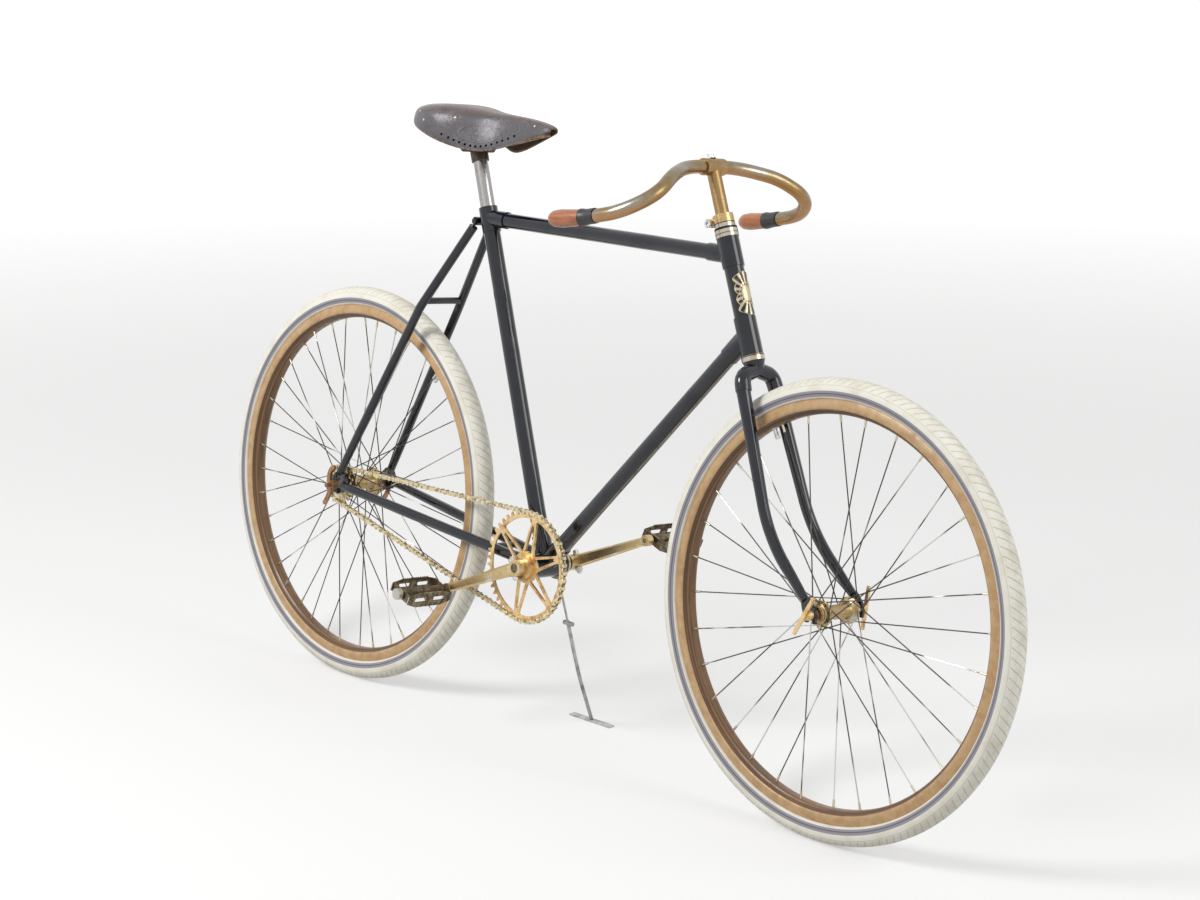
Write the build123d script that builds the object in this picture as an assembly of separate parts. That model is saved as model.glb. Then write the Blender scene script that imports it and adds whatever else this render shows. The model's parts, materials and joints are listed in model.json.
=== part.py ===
from build123d import *
import os
from math import acos, atan2, cos, degrees, pi, radians, sin, sqrt, tan

# Path racing bicycle of about 1900, drawn upright with the rear hub above the origin:
# X forward, Y to the left, Z up, in millimetres. At the end the whole bicycle is leaned
# to its left on to its prop stand and set down on the floor.

# Wheels
wheel_radius = 357.5
tyre_section_radius = 20.0
tyre_height = 31.1
tyre_facets = 4
rim_depth = 24.9
rim_width = 34.0
rim_widest_depth = 12.0
rim_shoulder_depth = 19.0
rim_shoulder_half = 13.0
rim_well_half = 8.0
rim_edge_half = 13.6
rim_wall = 2.6
wheelbase = 1153.5

# Drive
chain_pitch = 12.7
ring_teeth = 46
cog_teeth = 16
chain_links = 112
chain_line = 46.0
crank_length = 178.0
crank_angle = 22.5
bottom_bracket_drop = 53.5

# Frame angles, and places measured along the tubes
seat_angle = 70.0
head_angle = 67.0
fork_rake = 56.0
crown_clearance = 61.2
head_tube_length = 191.0
top_tube_drop = 27.5
down_tube_place = 33.6
saddle_clamp_rise = 686.0
seat_pin_depth = 76.0

# Tube radii
top_tube_radius = 12.7
seat_tube_radius = 14.3
down_tube_radius = 14.3
head_tube_radius = 15.9
tube_wall = 1.4
lug_wall = 1.8
chain_stay_radius = 9.0
seat_stay_radius = 7.9
stay_tip_radius = 7.0
bridge_radius = 6.0
fork_blade_radius = 11.4
fork_bend_radius = 9.2
fork_tip_radius = 6.8
steerer_radius = 12.7
seat_pin_radius = 12.7
bar_radius = 11.0

# Hub ends and axles
hub_half = 45.0
cog_hub_end = 50.5
rear_end_inner = 54.0
front_end_inner = 52.0
end_plate = 5.0
axle_radius = 4.75
axle_point_radius = 4.0
axle_point_length = 8.0

# Narrow sides of a bent or tapering tube, and of the saddle's wire
bent_sides = 20
wire_sides = 8

# Fits
seat_gap = 0.15
piece_gap = 0.3
running_gap = 0.06

# Prop stand
lean_angle = 6.2
stand_foot_y = 138.0
stand_knee = (48.0, 53.0, 113.0)
stand_rod_radius = 2.0
stand_tube_radius = 3.2
foot_length = 100.0
foot_width = 13.0
foot_thickness = 3.0

LOW = (Align.CENTER, Align.CENTER, Align.MIN)


def rod(start, end, radius, bore=0.0, end_radius=None):
    """Round bar, cone or pipe between two points."""
    start, end = Vector(start), Vector(end)
    length = (end - start).length
    if end_radius is None:
        solid = Cylinder(radius, length, align=LOW)
    else:
        solid = Cone(radius, end_radius, length, align=LOW)
    if bore:
        solid -= Cylinder(bore, length, align=LOW)
    return Plane(origin=start, z_dir=end - start) * solid


def prism(start, end, radius, sides):
    """Straight bar with flat sides between two points."""
    start, end = Vector(start), Vector(end)
    bar = extrude(RegularPolygon(radius, sides), amount=(end - start).length)
    return Plane(origin=start, z_dir=end - start) * bar


def swept(path, radius, sides=bent_sides):
    """Bar of many narrow sides along a path."""
    return sweep(Plane(origin=path @ 0, z_dir=path % 0) * RegularPolygon(radius, sides), path=path)


def tapered(start, end, radius, end_radius):
    """Bar of many narrow sides that tapers between two points."""
    start, end = Vector(start), Vector(end)
    low = RegularPolygon(radius, bent_sides)
    high = Pos(0, 0, (end - start).length) * RegularPolygon(end_radius, bent_sides)
    return Plane(origin=start, z_dir=end - start) * loft([low, high], ruled=True)


def turned(profile, middle=(0, 0, 0)):
    """Solid turned about the Y direction from (radius, y) corners."""
    face = make_face(Polyline(*profile, close=True))
    return Pos(*middle) * revolve(face, Axis.Y)


def side_plate(corners, y_low, y_high):
    """Flat plate of (x, z) corners between two values of y."""
    face = make_face(Polyline(*[(x, 0, z) for x, z in corners], close=True))
    plate = extrude(face, amount=y_high - y_low, dir=(0, 1, 0))
    return Pos(0, y_low, 0) * plate


def mirrored(solid):
    return mirror(solid, about=Plane.XZ)


def unit(start, end):
    return (end - start).normalized()


def sided(point, side):
    """The same point on the left (1) or the right (-1)."""
    return Vector(point.X, side * point.Y, point.Z)


# Points of the frame
centre_ratio = chain_links - (ring_teeth + cog_teeth) / 2
tooth_ratio = (ring_teeth - cog_teeth) / (2 * pi)
chain_stay_length = chain_pitch / 4 * (centre_ratio + sqrt(centre_ratio**2 - 8 * tooth_ratio**2))
rear_hub = Vector(0, 0, wheel_radius)
front_hub = Vector(wheelbase, 0, wheel_radius)
bracket = Vector(sqrt(chain_stay_length**2 - bottom_bracket_drop**2), 0, wheel_radius - bottom_bracket_drop)

seat_up = Vector(-cos(radians(seat_angle)), 0, sin(radians(seat_angle)))
seat_behind = Vector(-sin(radians(seat_angle)), 0, -cos(radians(seat_angle)))
head_up = Vector(-cos(radians(head_angle)), 0, sin(radians(head_angle)))
head_ahead = Vector(sin(radians(head_angle)), 0, cos(radians(head_angle)))
axis_foot = front_hub - head_ahead * fork_rake
head_bottom = axis_foot + head_up * (wheel_radius + crown_clearance)
head_top = head_bottom + head_up * head_tube_length
head_node = head_bottom + head_up * (head_tube_length - top_tube_drop)
down_node = head_bottom + head_up * down_tube_place
seat_node = bracket + seat_up * ((head_node.Z - bracket.Z) / seat_up.Z)
steering = Plane(origin=head_bottom, x_dir=head_ahead, z_dir=head_up)
top_way = unit(head_node, seat_node)
down_way = unit(down_node, bracket)


def on_steering(solid, height):
    """Places a solid drawn upright on the steering axis, this far above the head tube's foot."""
    return steering * Pos(0, 0, height) * solid


def collar(outer, height, bore, low):
    return on_steering(Cylinder(outer, height, align=LOW) - Cylinder(bore, height, align=LOW), low)


parts = {}

# Main tubes, shaped at their ends to the tubes and the shell they meet
shell_radius = 21.0
shell_half_width = 34.0
cup_side = Vector(0, 40, 0)
head_outer = rod(head_bottom, head_top, head_tube_radius + seat_gap)
shell_outer = rod(bracket - cup_side, bracket + cup_side, shell_radius + seat_gap)
seat_tube_top = seat_node + seat_up * 13.0
seat_outer = rod(bracket, seat_tube_top + seat_up * 20, seat_tube_radius + seat_gap)

seat_tube = rod(bracket, seat_tube_top, seat_tube_radius, seat_pin_radius + seat_gap)
top_tube = rod(seat_node, head_node, top_tube_radius, top_tube_radius - tube_wall)
down_tube = rod(bracket, down_node, down_tube_radius, down_tube_radius - tube_wall)
parts["seat_tube"] = seat_tube - shell_outer
parts["top_tube"] = top_tube - head_outer - seat_outer
parts["down_tube"] = down_tube - head_outer - shell_outer - seat_outer
parts["head_tube"] = rod(head_bottom, head_top, head_tube_radius, head_tube_radius - tube_wall)

# Lugs: each a sleeve round the through tube with a socket round the tube that meets it
socket_length = 46.0
lower_socket_length = 52.0


def lug(sleeve_start, sleeve_end, sleeve_radius, socket_start, socket_way, length, socket_radius):
    body = rod(sleeve_start, sleeve_end, sleeve_radius + seat_gap + lug_wall)
    body += rod(socket_start, socket_start + socket_way * length, socket_radius + seat_gap + lug_wall)
    body -= rod(socket_start, socket_start + socket_way * (length + 10), socket_radius + seat_gap)
    reach = sleeve_end - sleeve_start
    return body - rod(sleeve_start - reach, sleeve_end + reach, sleeve_radius + seat_gap)


upper_lug = lug(head_top - head_up * 48, head_top, head_tube_radius,
                head_node, top_way, socket_length, top_tube_radius)
lower_lug = lug(head_bottom, head_bottom + head_up * 62, head_tube_radius,
                down_node, down_way, lower_socket_length, down_tube_radius)

# Seat lug, split behind the tube and drawn together there by a bolt
seat_lug_low = seat_node - seat_up * 25
seat_lug_top = seat_node + seat_up * 18.6
bolt_eye = seat_node + seat_up * 0.5 + seat_behind * 24
eye_half = 13.0
eye_radius = 7.5
nut_radius = 5.5
eye_way = Vector(0, 1, 0)
seat_lug = lug(seat_lug_low, seat_lug_top, seat_tube_radius,
               seat_node, unit(seat_node, head_node), socket_length, top_tube_radius)
eye = rod(bolt_eye - eye_way * eye_half, bolt_eye + eye_way * eye_half, eye_radius)
eye += rod(bolt_eye, bolt_eye - seat_behind * 24, 6.0)
seat_lug += eye - seat_outer
seat_lug -= Pos(bolt_eye.X + 5, 0, bolt_eye.Z) * Box(30, 2.0, 60)
nut_seat = eye_half + piece_gap
pinch_head = prism(bolt_eye - eye_way * (eye_half + 3), bolt_eye - eye_way * nut_seat, nut_radius, 6)
pinch_nut = prism(bolt_eye + eye_way * nut_seat, bolt_eye + eye_way * (eye_half + 4), nut_radius, 6)

# Bottom bracket shell with sockets for the two tubes and the chain stays
stay_start_y = 24.0
stay_end_y = rear_end_inner + end_plate + 0.6
stay_socket_floor = 16.0
stay_socket_length = 46.0
stay_front = bracket + (-8, stay_start_y, 2)
stay_rear = rear_hub + (24, stay_end_y, 1.5)
shell = rod(bracket - (0, shell_half_width, 0), bracket + (0, shell_half_width, 0), shell_radius)
shell += rod(bracket, bracket + seat_up * 50, seat_tube_radius + seat_gap + lug_wall)
shell += rod(bracket, bracket - down_way * 54, down_tube_radius + seat_gap + lug_wall)
for side in (-1, 1):
    near, far = sided(stay_front, side), sided(stay_rear, side)
    way = unit(near, far)
    shell += rod(near, near + way * stay_socket_length, chain_stay_radius + seat_gap + lug_wall)
    shell -= rod(near + way * stay_socket_floor, far, chain_stay_radius + seat_gap)
    shell -= rod(bracket + (0, side * shell_half_width, 0), bracket + cup_side * side, shell_radius)
shell_core = rod(bracket - cup_side, bracket + cup_side, shell_radius)
shell -= rod(bracket, seat_tube_top, seat_tube_radius + seat_gap) - shell_core
shell -= rod(bracket, down_node, down_tube_radius + seat_gap) - shell_core
shell -= rod(bracket - cup_side, bracket + cup_side, 17.5)
parts["frame_lugs"] = Compound(children=[upper_lug, lower_lug, seat_lug, pinch_head, pinch_nut, shell])

# Chain stays, from the shell's sockets back to the rear ends
stay_taper_start = 330.0
stay_end_radius = 7.6
chain_stays = []
for side in (-1, 1):
    near, far = sided(stay_front, side), sided(stay_rear, side)
    way = unit(near, far)
    stay = rod(near + way * (stay_socket_floor + piece_gap), near + way * stay_taper_start, chain_stay_radius)
    stay += tapered(near + way * stay_taper_start, far, chain_stay_radius, stay_end_radius)
    chain_stays.append(stay)
parts["chain_stays"] = Compound(children=chain_stays)

# Seat stays: from the seat lug out to a bend above the tyre, then straight to the rear ends
stay_bend_angle = 61.64
stay_bend_clearance = 36.2
stay_bend_y = 45.0
stay_bend_radius = 90.0
stay_top = bolt_eye + (5, 19.5, -9)
stay_bend = rear_hub + Vector(cos(radians(stay_bend_angle)), 0, sin(radians(stay_bend_angle))) \
    * (wheel_radius + stay_bend_clearance) + (0, stay_bend_y, 0)
stay_foot = rear_hub + (14, stay_end_y, 26)
taper_start = stay_bend + (stay_foot - stay_bend) * 0.72


def seat_stay(side, grow):
    points = [sided(point, side) for point in (stay_top, stay_bend, taper_start)]
    upper = swept(FilletPolyline(*points, radius=stay_bend_radius), seat_stay_radius + grow)
    return upper + tapered(points[2], sided(stay_foot, side), seat_stay_radius + grow, stay_tip_radius + grow)


parts["seat_stays"] = Compound(children=[seat_stay(-1, 0), seat_stay(1, 0)])

# Bridges: one between the seat stays above the tyre, one between the chain stays ahead of it
bridge_rise = 14.0
lower_bridge_clearance = 47.0
lower_bridge_gap = 0.7
bridge_end = stay_bend + unit(stay_bend, stay_top) * bridge_rise
bridge = rod(sided(bridge_end, -1), bridge_end, bridge_radius)
bridge = bridge - seat_stay(-1, piece_gap) - seat_stay(1, piece_gap)
bridge = max(bridge.solids(), key=lambda solid: solid.volume)
lower_end = stay_rear + unit(stay_rear, stay_front) * (wheel_radius + lower_bridge_clearance - 24)
lower_end -= Vector(0, chain_stay_radius + lower_bridge_gap, 0)
parts["stay_bridges"] = Compound(children=[bridge, rod(sided(lower_end, -1), lower_end, bridge_radius)])

# Rear ends: slotted plates that the stays are brazed into
slot_half = axle_radius + 0.4
rear_end_outline = [(-24, -12), (-24, 12), (-6, 17), (4, 26), (22, 26), (30, 12), (34, -6), (10, -15)]
stay_seat_gap = 0.3
stay_seat_radius = 9.4
rear_ends = []
for side in (-1, 1):
    y_low = rear_end_inner if side > 0 else -rear_end_inner - end_plate
    plate = side_plate([(x, wheel_radius + z) for x, z in rear_end_outline], y_low, y_low + end_plate)
    plate -= Pos(-15, y_low + end_plate / 2, wheel_radius) * Box(30, 20, 2 * slot_half)
    plate -= rod((0, y_low - 5, wheel_radius), (0, y_low + 10, wheel_radius), slot_half)
    for end, way in ((stay_rear, unit(stay_rear, stay_front)), (stay_foot, unit(stay_foot, taper_start))):
        mark, ahead = sided(end, side), sided(way, side)
        plate -= rod(mark - ahead * stay_seat_gap, mark + ahead * 60, stay_seat_radius)
    rear_ends.append(plate)
parts["rear_ends"] = Compound(children=rear_ends)

# Axles with their cones. The rear one's bare ends stand out beyond its wing nuts.
cone_radius = 8.5
nut_height = 12.0
wing_cover = 5.0
rear_nut_radii = (9.5, 7.0)
front_nut_radii = (8.5, 6.4)
wing_thickness = 4.0


def nut_base(inner):
    return inner + end_plate + piece_gap


def axle(centre, inner, right_hub_end, thread_end):
    shaft = rod(centre - (0, thread_end, 0), centre + (0, thread_end, 0), axle_radius)
    for side, hub_end in ((-1, right_hub_end), (1, hub_half)):
        shaft += rod(centre + (0, side * (hub_end + 2 * piece_gap), 0),
                     centre + (0, side * (inner - piece_gap), 0), cone_radius)
    return shaft


rear_thread_end = nut_base(rear_end_inner) + nut_height + 2 * piece_gap
rear_point = Vector(0, rear_thread_end + axle_point_length, 0)
rear_axle = axle(rear_hub, rear_end_inner, cog_hub_end, rear_thread_end)
parts["rear_axle"] = rear_axle + rod(rear_hub - rear_point, rear_hub + rear_point, axle_point_radius)
front_thread_end = nut_base(front_end_inner) + nut_height - wing_cover - piece_gap
parts["front_axle"] = axle(front_hub, front_end_inner, hub_half, front_thread_end)


def wing_nut(centre, inner, wing, side, radii, cover=0.0):
    """Round nut with its wing, on the left (1) or the right (-1) end of an axle."""
    base = nut_base(inner)
    top = base + nut_height
    nut = rod((0, base, 0), (0, top, 0), radii[0], end_radius=radii[1])
    nut += Pos(0, top, 0) * extrude(Plane.XZ * wing, amount=wing_thickness)
    nut -= rod((0, base - 1, 0), (0, top - cover if cover else top + 1, 0), axle_radius + seat_gap)
    return Pos(*centre) * (nut if side > 0 else mirrored(nut))


# Front wing nuts are straight tapering bars, the rear ones S-shaped
bar_half = 35.0
front_wing = Polygon((-3.5, 0), (-2.4, bar_half), (2.4, bar_half), (3.5, 0),
                     (2.4, -bar_half), (-2.4, -bar_half), align=None)
rear_wing = SlotArc(ThreePointArc((0, 0), (-5, 16), (6, 33)), 8.5)
rear_wing += SlotArc(ThreePointArc((0, 0), (-3, -17), (-13, -34)), 8.5)
front_nuts = [wing_nut(front_hub, front_end_inner, Rot(0, 0, turn) * front_wing, side,
                       front_nut_radii, wing_cover) for side, turn in ((-1, -28), (1, -4))]
rear_nuts = [wing_nut(rear_hub, rear_end_inner, rear_wing, side, rear_nut_radii) for side in (-1, 1)]
parts["front_wing_nuts"] = Compound(children=front_nuts)
parts["rear_wing_nuts"] = Compound(children=rear_nuts)

# Tyres and channelled rims
rim_edge_radius = wheel_radius - tyre_height
rim_floor_radius = rim_edge_radius - rim_depth


def tyre(centre):
    major = wheel_radius - tyre_section_radius
    half_span = acos((rim_edge_radius + piece_gap - major) / tyre_section_radius)
    corners = []
    for step in range(tyre_facets + 1):
        turn = half_span * (2 * step / tyre_facets - 1)
        corners.append((major + tyre_section_radius * cos(turn), tyre_section_radius * sin(turn)))
    return turned(corners, centre)


def rim(centre):
    outside = [(rim_edge_radius, rim_edge_half), (rim_edge_radius - rim_widest_depth, rim_width / 2),
               (rim_edge_radius - rim_shoulder_depth, rim_shoulder_half), (rim_floor_radius, rim_well_half)]
    inside = [(rim_floor_radius + rim_wall, rim_well_half - 1), (rim_edge_radius, rim_edge_half - rim_wall)]
    profile = outside + [(radius, -y) for radius, y in reversed(outside)]
    profile += [(radius, -y) for radius, y in reversed(inside)] + inside
    return turned(profile, centre)


# Hubs: a narrow barrel between two flanges, with tangent spokes laced to them
barrel_end = 12.5
spoke_radius = 1.05
outside_hole = 4.0
inside_hole = -3.6


def hub(flange_radius, flange_y, barrel_radius, right_end):
    bore = axle_radius + running_gap
    half = [(barrel_end, hub_half), (barrel_end, flange_y + 8), (15.0, flange_y + 3),
            (flange_radius, flange_y + 1.5), (flange_radius, flange_y - 1.5), (barrel_radius, flange_y - 4)]
    profile = [(bore, hub_half)] + half + [(radius, -y) for radius, y in reversed(half)]
    if right_end > hub_half:
        profile += [(barrel_end, -right_end)]
    return turned(profile + [(bore, -right_end)])


def spokes(count, circle_radius, flange_y, crosses):
    """Tangent spokes: each leaves the flange's inner or outer face and crosses its neighbours."""
    made = []
    holes = count // 2
    step = 2 * pi / holes
    rim_reach = rim_floor_radius - piece_gap
    for flange in (-1, 1):
        for hole in range(holes):
            outside = hole % 2
            hub_turn = hole * step + flange * step / 4
            rim_turn = hub_turn + crosses * step * (1 if outside else -1)
            place = flange_y + (outside_hole if outside else inside_hole)
            start = (circle_radius * cos(hub_turn), flange * place, circle_radius * sin(hub_turn))
            end = (rim_reach * cos(rim_turn), flange * (4.5 if outside else 1.8), rim_reach * sin(rim_turn))
            made.append(prism(start, end, spoke_radius, 6))
    return made


front_flange = 32.0
rear_flange = 30.0
parts["front_tyre"] = tyre(front_hub)
parts["front_rim"] = rim(front_hub)
parts["front_hub"] = Pos(*front_hub) * Compound(
    children=[hub(21.0, front_flange, 11.0, hub_half)] + spokes(32, 18.0, front_flange, 3))
parts["rear_tyre"] = tyre(rear_hub)
parts["rear_rim"] = rim(rear_hub)
parts["rear_hub"] = Pos(*rear_hub) * Compound(
    children=[hub(26.0, rear_flange, 12.5, cog_hub_end)] + spokes(40, 23.0, rear_flange, 4))

# Sprockets, with trapezoid teeth
tooth_half = 1.3
tooth_depth = 4.0
tooth_height = 3.6
cog_boss_radius = 20.0
cog_boss_half = 3.5


def sprocket_outline(teeth):
    pitch_radius = chain_pitch / (2 * sin(pi / teeth))
    root, tip = pitch_radius - tooth_depth, pitch_radius + tooth_height
    corners = []
    for tooth in range(teeth):
        for share, radius in ((-0.34, root), (-0.11, tip), (0.11, tip), (0.34, root)):
            turn = 2 * pi * (tooth + share) / teeth
            corners.append((radius * cos(turn), radius * sin(turn)))
    return corners


cog = side_plate(sprocket_outline(cog_teeth), -chain_line - tooth_half, -chain_line + tooth_half)
cog += rod((0, -chain_line - cog_boss_half, 0), (0, -chain_line + cog_boss_half, 0), cog_boss_radius)
parts["rear_cog"] = Pos(*rear_hub) * (cog - rod((0, -60, 0), (0, 0, 0), barrel_end + seat_gap))

# Chainring: a toothed rim on six pairs of slim arms, each pair meeting at the rim in a small web
ring_root = chain_pitch / (2 * sin(pi / ring_teeth)) - tooth_depth
rim_band = 6.0
arm_reach = ring_root - rim_band + 2.0
boss_radius = 27.0
drum_radius = 22.0
drum_length = 12.0
crank_bore = 14.0
arm_tips = 6
arm_spread = 26.0
arm_half_width = 2.4
arm_half_depth = 2.2


def polar(radius, turn):
    return Vector(radius * cos(turn), radius * sin(turn))


def flat_arm(corners):
    return side_plate([(corner.X, corner.Y) for corner in corners],
                      -chain_line - arm_half_depth, -chain_line + arm_half_depth)


ring = side_plate(sprocket_outline(ring_teeth), -chain_line - tooth_half, -chain_line + tooth_half)
ring -= rod((0, -60, 0), (0, 0, 0), ring_root - rim_band)
for tip in range(arm_tips):
    tip_turn = radians(20 + 60 * tip)
    for side in (-1, 1):
        start = polar(boss_radius * 0.9, tip_turn + side * radians(arm_spread))
        end = polar(arm_reach, tip_turn + side * radians(2.2))
        across = (end - start).normalized().rotate(Axis.Z, 90) * arm_half_width
        ring += flat_arm([start + across, end + across * 0.8, end - across * 0.8, start - across])
    ring += flat_arm([polar(arm_reach, tip_turn - radians(6)), polar(arm_reach, tip_turn + radians(6)),
                      polar(arm_reach * 0.84, tip_turn)])
ring += rod((0, -chain_line - 3, 0), (0, -chain_line + 3, 0), boss_radius)
ring += rod((0, -chain_line - drum_length, 0), (0, -chain_line, 0), drum_radius)
parts["chainring"] = Pos(*bracket) * (ring - rod((0, -80, 0), (0, 0, 0), crank_bore + seat_gap))

# Cranks: a boss cottered to the spindle, a flat tapering arm and an eye for the pedal spindle
spindle_radius = 8.0
spindle_half = 72.0
boss_inner = 48.5
boss_outer = 73.0
eye_inner = 65.0
eye_outer = 77.0
crank_eye_radius = 9.5
pedal_spindle_radius = 4.0
cotter_place = (9.0, 65.0)
arm_ends = ((6.0, 11.0, 58.5, 72.0), (crank_length - 4, 7.0, 66.5, 76.0))
arm_chamfer = 3.0


def bevelled(half_width, half_depth):
    """Rectangle with its corners cut off."""
    cut = arm_chamfer
    quarter = [(half_width, half_depth - cut), (half_width - cut, half_depth)]
    corners = quarter + [(-x, y) for x, y in reversed(quarter)]
    corners += [(-x, -y) for x, y in quarter] + [(x, -y) for x, y in reversed(quarter)]
    return Polygon(*corners, align=None)


def crank(side):
    turn = radians(crank_angle) + (0 if side > 0 else pi)
    way = Vector(cos(turn), 0, sin(turn))
    across = Vector(0, 1, 0).cross(way)
    eye = bracket + way * crank_length
    body = rod(bracket + (0, side * boss_inner, 0), bracket + (0, side * boss_outer, 0), crank_bore)
    body += rod(eye + (0, side * eye_inner, 0), eye + (0, side * eye_outer, 0), crank_eye_radius)
    sections = []
    for reach, half_width, y_low, y_high in arm_ends:
        origin = bracket + way * reach + Vector(0, side * (y_low + y_high) / 2, 0)
        plane = Plane(origin=origin, x_dir=across, z_dir=way)
        sections.append(plane * bevelled(half_width, (y_high - y_low) / 2))
    body += loft(sections, ruled=True)
    cotter = bracket + (0, side * cotter_place[1], 0) + way * cotter_place[0]
    body += prism(cotter + across * 19, cotter - across * 19, 4.4, 6)
    body -= rod(bracket, bracket + (0, side * 90, 0), spindle_radius + seat_gap)
    body -= rod(eye, eye + (0, side * 90, 0), pedal_spindle_radius + seat_gap)
    return body, eye


right_crank, right_eye = crank(-1)
left_crank, left_eye = crank(1)
parts["cranks"] = Compound(children=[right_crank, left_crank])

# Pedals: a barrel on its spindle, an end cap, and a toothed plate ahead and behind
pedal_inner = 84.0
pedal_outer = 180.0
pedal_middle = (pedal_inner + pedal_outer) / 2
plate_offset = 24.0
plate_half_height = 14.0
plate_end_half = 7.0
plate_thickness = 2.0
plate_teeth = 12
pedal_tilt = 20.0
barrel_radius = 8.0
cap_radius = 9.7


def pedal_plate(y_middle):
    """Upright plate with pointed ends, a toothed upper edge and two slots."""
    reach = (pedal_outer - pedal_inner) / 2
    outline = [(-reach, -plate_end_half), (-reach * 0.55, -plate_half_height),
               (reach * 0.55, -plate_half_height), (reach, -plate_end_half), (reach, plate_end_half)]
    pitch = reach * 1.2 / plate_teeth
    for tooth in range(plate_teeth):
        left = reach * 0.6 - tooth * pitch
        outline += [(left, plate_half_height - 2), (left - pitch / 2, plate_half_height)]
    outline += [(-reach * 0.6, plate_half_height - 2), (-reach, plate_end_half)]
    face = make_face(Polyline(*[(0, y_middle + y, z) for y, z in outline], close=True))
    plate = extrude(face, amount=plate_thickness, dir=(1, 0, 0))
    for slot_y in (-reach * 0.42, reach * 0.42):
        plate -= Pos(1, y_middle + slot_y, 0) * Box(10, reach * 0.5, 8)
    return Pos(-plate_thickness / 2, 0, 0) * plate


def pedal(eye, side):
    y_in, y_out = side * pedal_inner, side * (pedal_outer - 2)
    cage = rod((0, y_in, 0), (0, y_out, 0), barrel_radius)
    cage += rod((0, y_out, 0), (0, y_out + side * 10, 0), cap_radius)
    for end in (y_in, y_out - side * 3):
        cage += Pos(0, end + side, 0) * Box(2 * plate_offset, 2.0, 16)
    for offset in (-plate_offset, plate_offset):
        cage += Pos(offset, 0, 0) * pedal_plate(side * pedal_middle)
    cage -= rod((0, y_in - side * 5, 0), (0, y_out, 0), pedal_spindle_radius + running_gap)
    return Pos(eye.X, 0, eye.Z) * Rot(0, pedal_tilt, 0) * cage


parts["right_pedal"] = pedal(right_eye, -1)
parts["left_pedal"] = pedal(left_eye, 1)
spindles = [rod(bracket - (0, spindle_half, 0), bracket + (0, spindle_half, 0), spindle_radius)]
for side, eye in ((-1, right_eye), (1, left_eye)):
    spindles.append(rod(eye + (0, side * (eye_inner + 1), 0), eye + (0, side * (pedal_outer - 3), 0),
                        pedal_spindle_radius))
parts["spindles"] = Compound(children=spindles)

# Chain: pairs of side plates all round, with rollers wherever no sprocket tooth passes
ring_circle = ring_teeth * chain_pitch / (2 * pi)
cog_circle = cog_teeth * chain_pitch / (2 * pi)
line_angle = atan2(bracket.Z - rear_hub.Z, bracket.X - rear_hub.X)
wrap = acos((ring_circle - cog_circle) / chain_stay_length)
run_length = sqrt(chain_stay_length**2 - (ring_circle - cog_circle) ** 2)
ring_arc = 2 * (pi - wrap) * ring_circle
cog_arc = 2 * wrap * cog_circle
loop_length = 2 * run_length + ring_arc + cog_arc
top_angle = line_angle + pi - wrap
low_angle = 2 * line_angle - top_angle


def on_circle(centre, radius, turn):
    return centre + Vector(radius * cos(turn), 0, radius * sin(turn))


def chain_point(distance):
    """Point on the chain's line, from the top of the cog forward round the loop."""
    if distance < run_length:
        share = distance / run_length
        start, end = on_circle(rear_hub, cog_circle, top_angle), on_circle(bracket, ring_circle, top_angle)
        return start + (end - start) * share
    distance -= run_length
    if distance < ring_arc:
        return on_circle(bracket, ring_circle, top_angle - distance / ring_circle)
    distance -= ring_arc
    if distance < run_length:
        share = distance / run_length
        start, end = on_circle(bracket, ring_circle, low_angle), on_circle(rear_hub, cog_circle, low_angle)
        return start + (end - start) * share
    distance -= run_length
    return on_circle(rear_hub, cog_circle, low_angle - distance / cog_circle)


roller_size = 4.6
roller_half = 2.1
tooth_reach = 13.5
link_plate = (6.4, 1.0, 7.6)
plate_faces = (2.2, 3.4)
pins = [chain_point(loop_length * link / chain_links) for link in range(chain_links)]
links = []
for link, (pin, next_pin) in enumerate(zip(pins, pins[1:] + pins[:1])):
    middle = (pin + next_pin) / 2
    tilt = -degrees(atan2(next_pin.Z - pin.Z, next_pin.X - pin.X))
    plate = Box((next_pin - pin).length + link_plate[0], link_plate[1], link_plate[2])
    for side in (-1, 1):
        y = -chain_line + side * (plate_faces[link % 2] + link_plate[1] / 2)
        links.append(Pos(middle.X, y, middle.Z) * Rot(0, tilt, 0) * plate)
    clear_ring = (pin - bracket).length - ring_circle > tooth_reach
    clear_cog = (pin - rear_hub).length - cog_circle > tooth_reach
    if clear_ring and clear_cog:
        links.append(Pos(pin.X, -chain_line, pin.Z) * Rot(0, tilt + 45, 0)
                     * Box(roller_size, 2 * roller_half, roller_size))
parts["chain"] = Compound(children=links)

# Bearing cups of the head and of the bottom bracket
steerer_bore = steerer_radius + running_gap
lower_cup_height = 9.0
upper_cup_height = 6.0
lower_cup = collar(18.6, lower_cup_height, steerer_bore, -lower_cup_height - piece_gap)
upper_cup = collar(18.4, upper_cup_height, steerer_bore, head_tube_length + piece_gap)
cup_bore = spindle_radius + running_gap
cup_face = shell_half_width + piece_gap
bracket_cup = turned([(cup_bore, shell_half_width - 12), (17.2, shell_half_width - 12), (17.2, cup_face),
                      (20.0, cup_face), (20.0, cup_face + 5), (16.0, cup_face + 7), (cup_bore, cup_face + 7)],
                     bracket)
parts["bearing_cups"] = Compound(children=[lower_cup, upper_cup, bracket_cup, mirrored(bracket_cup)])

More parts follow.
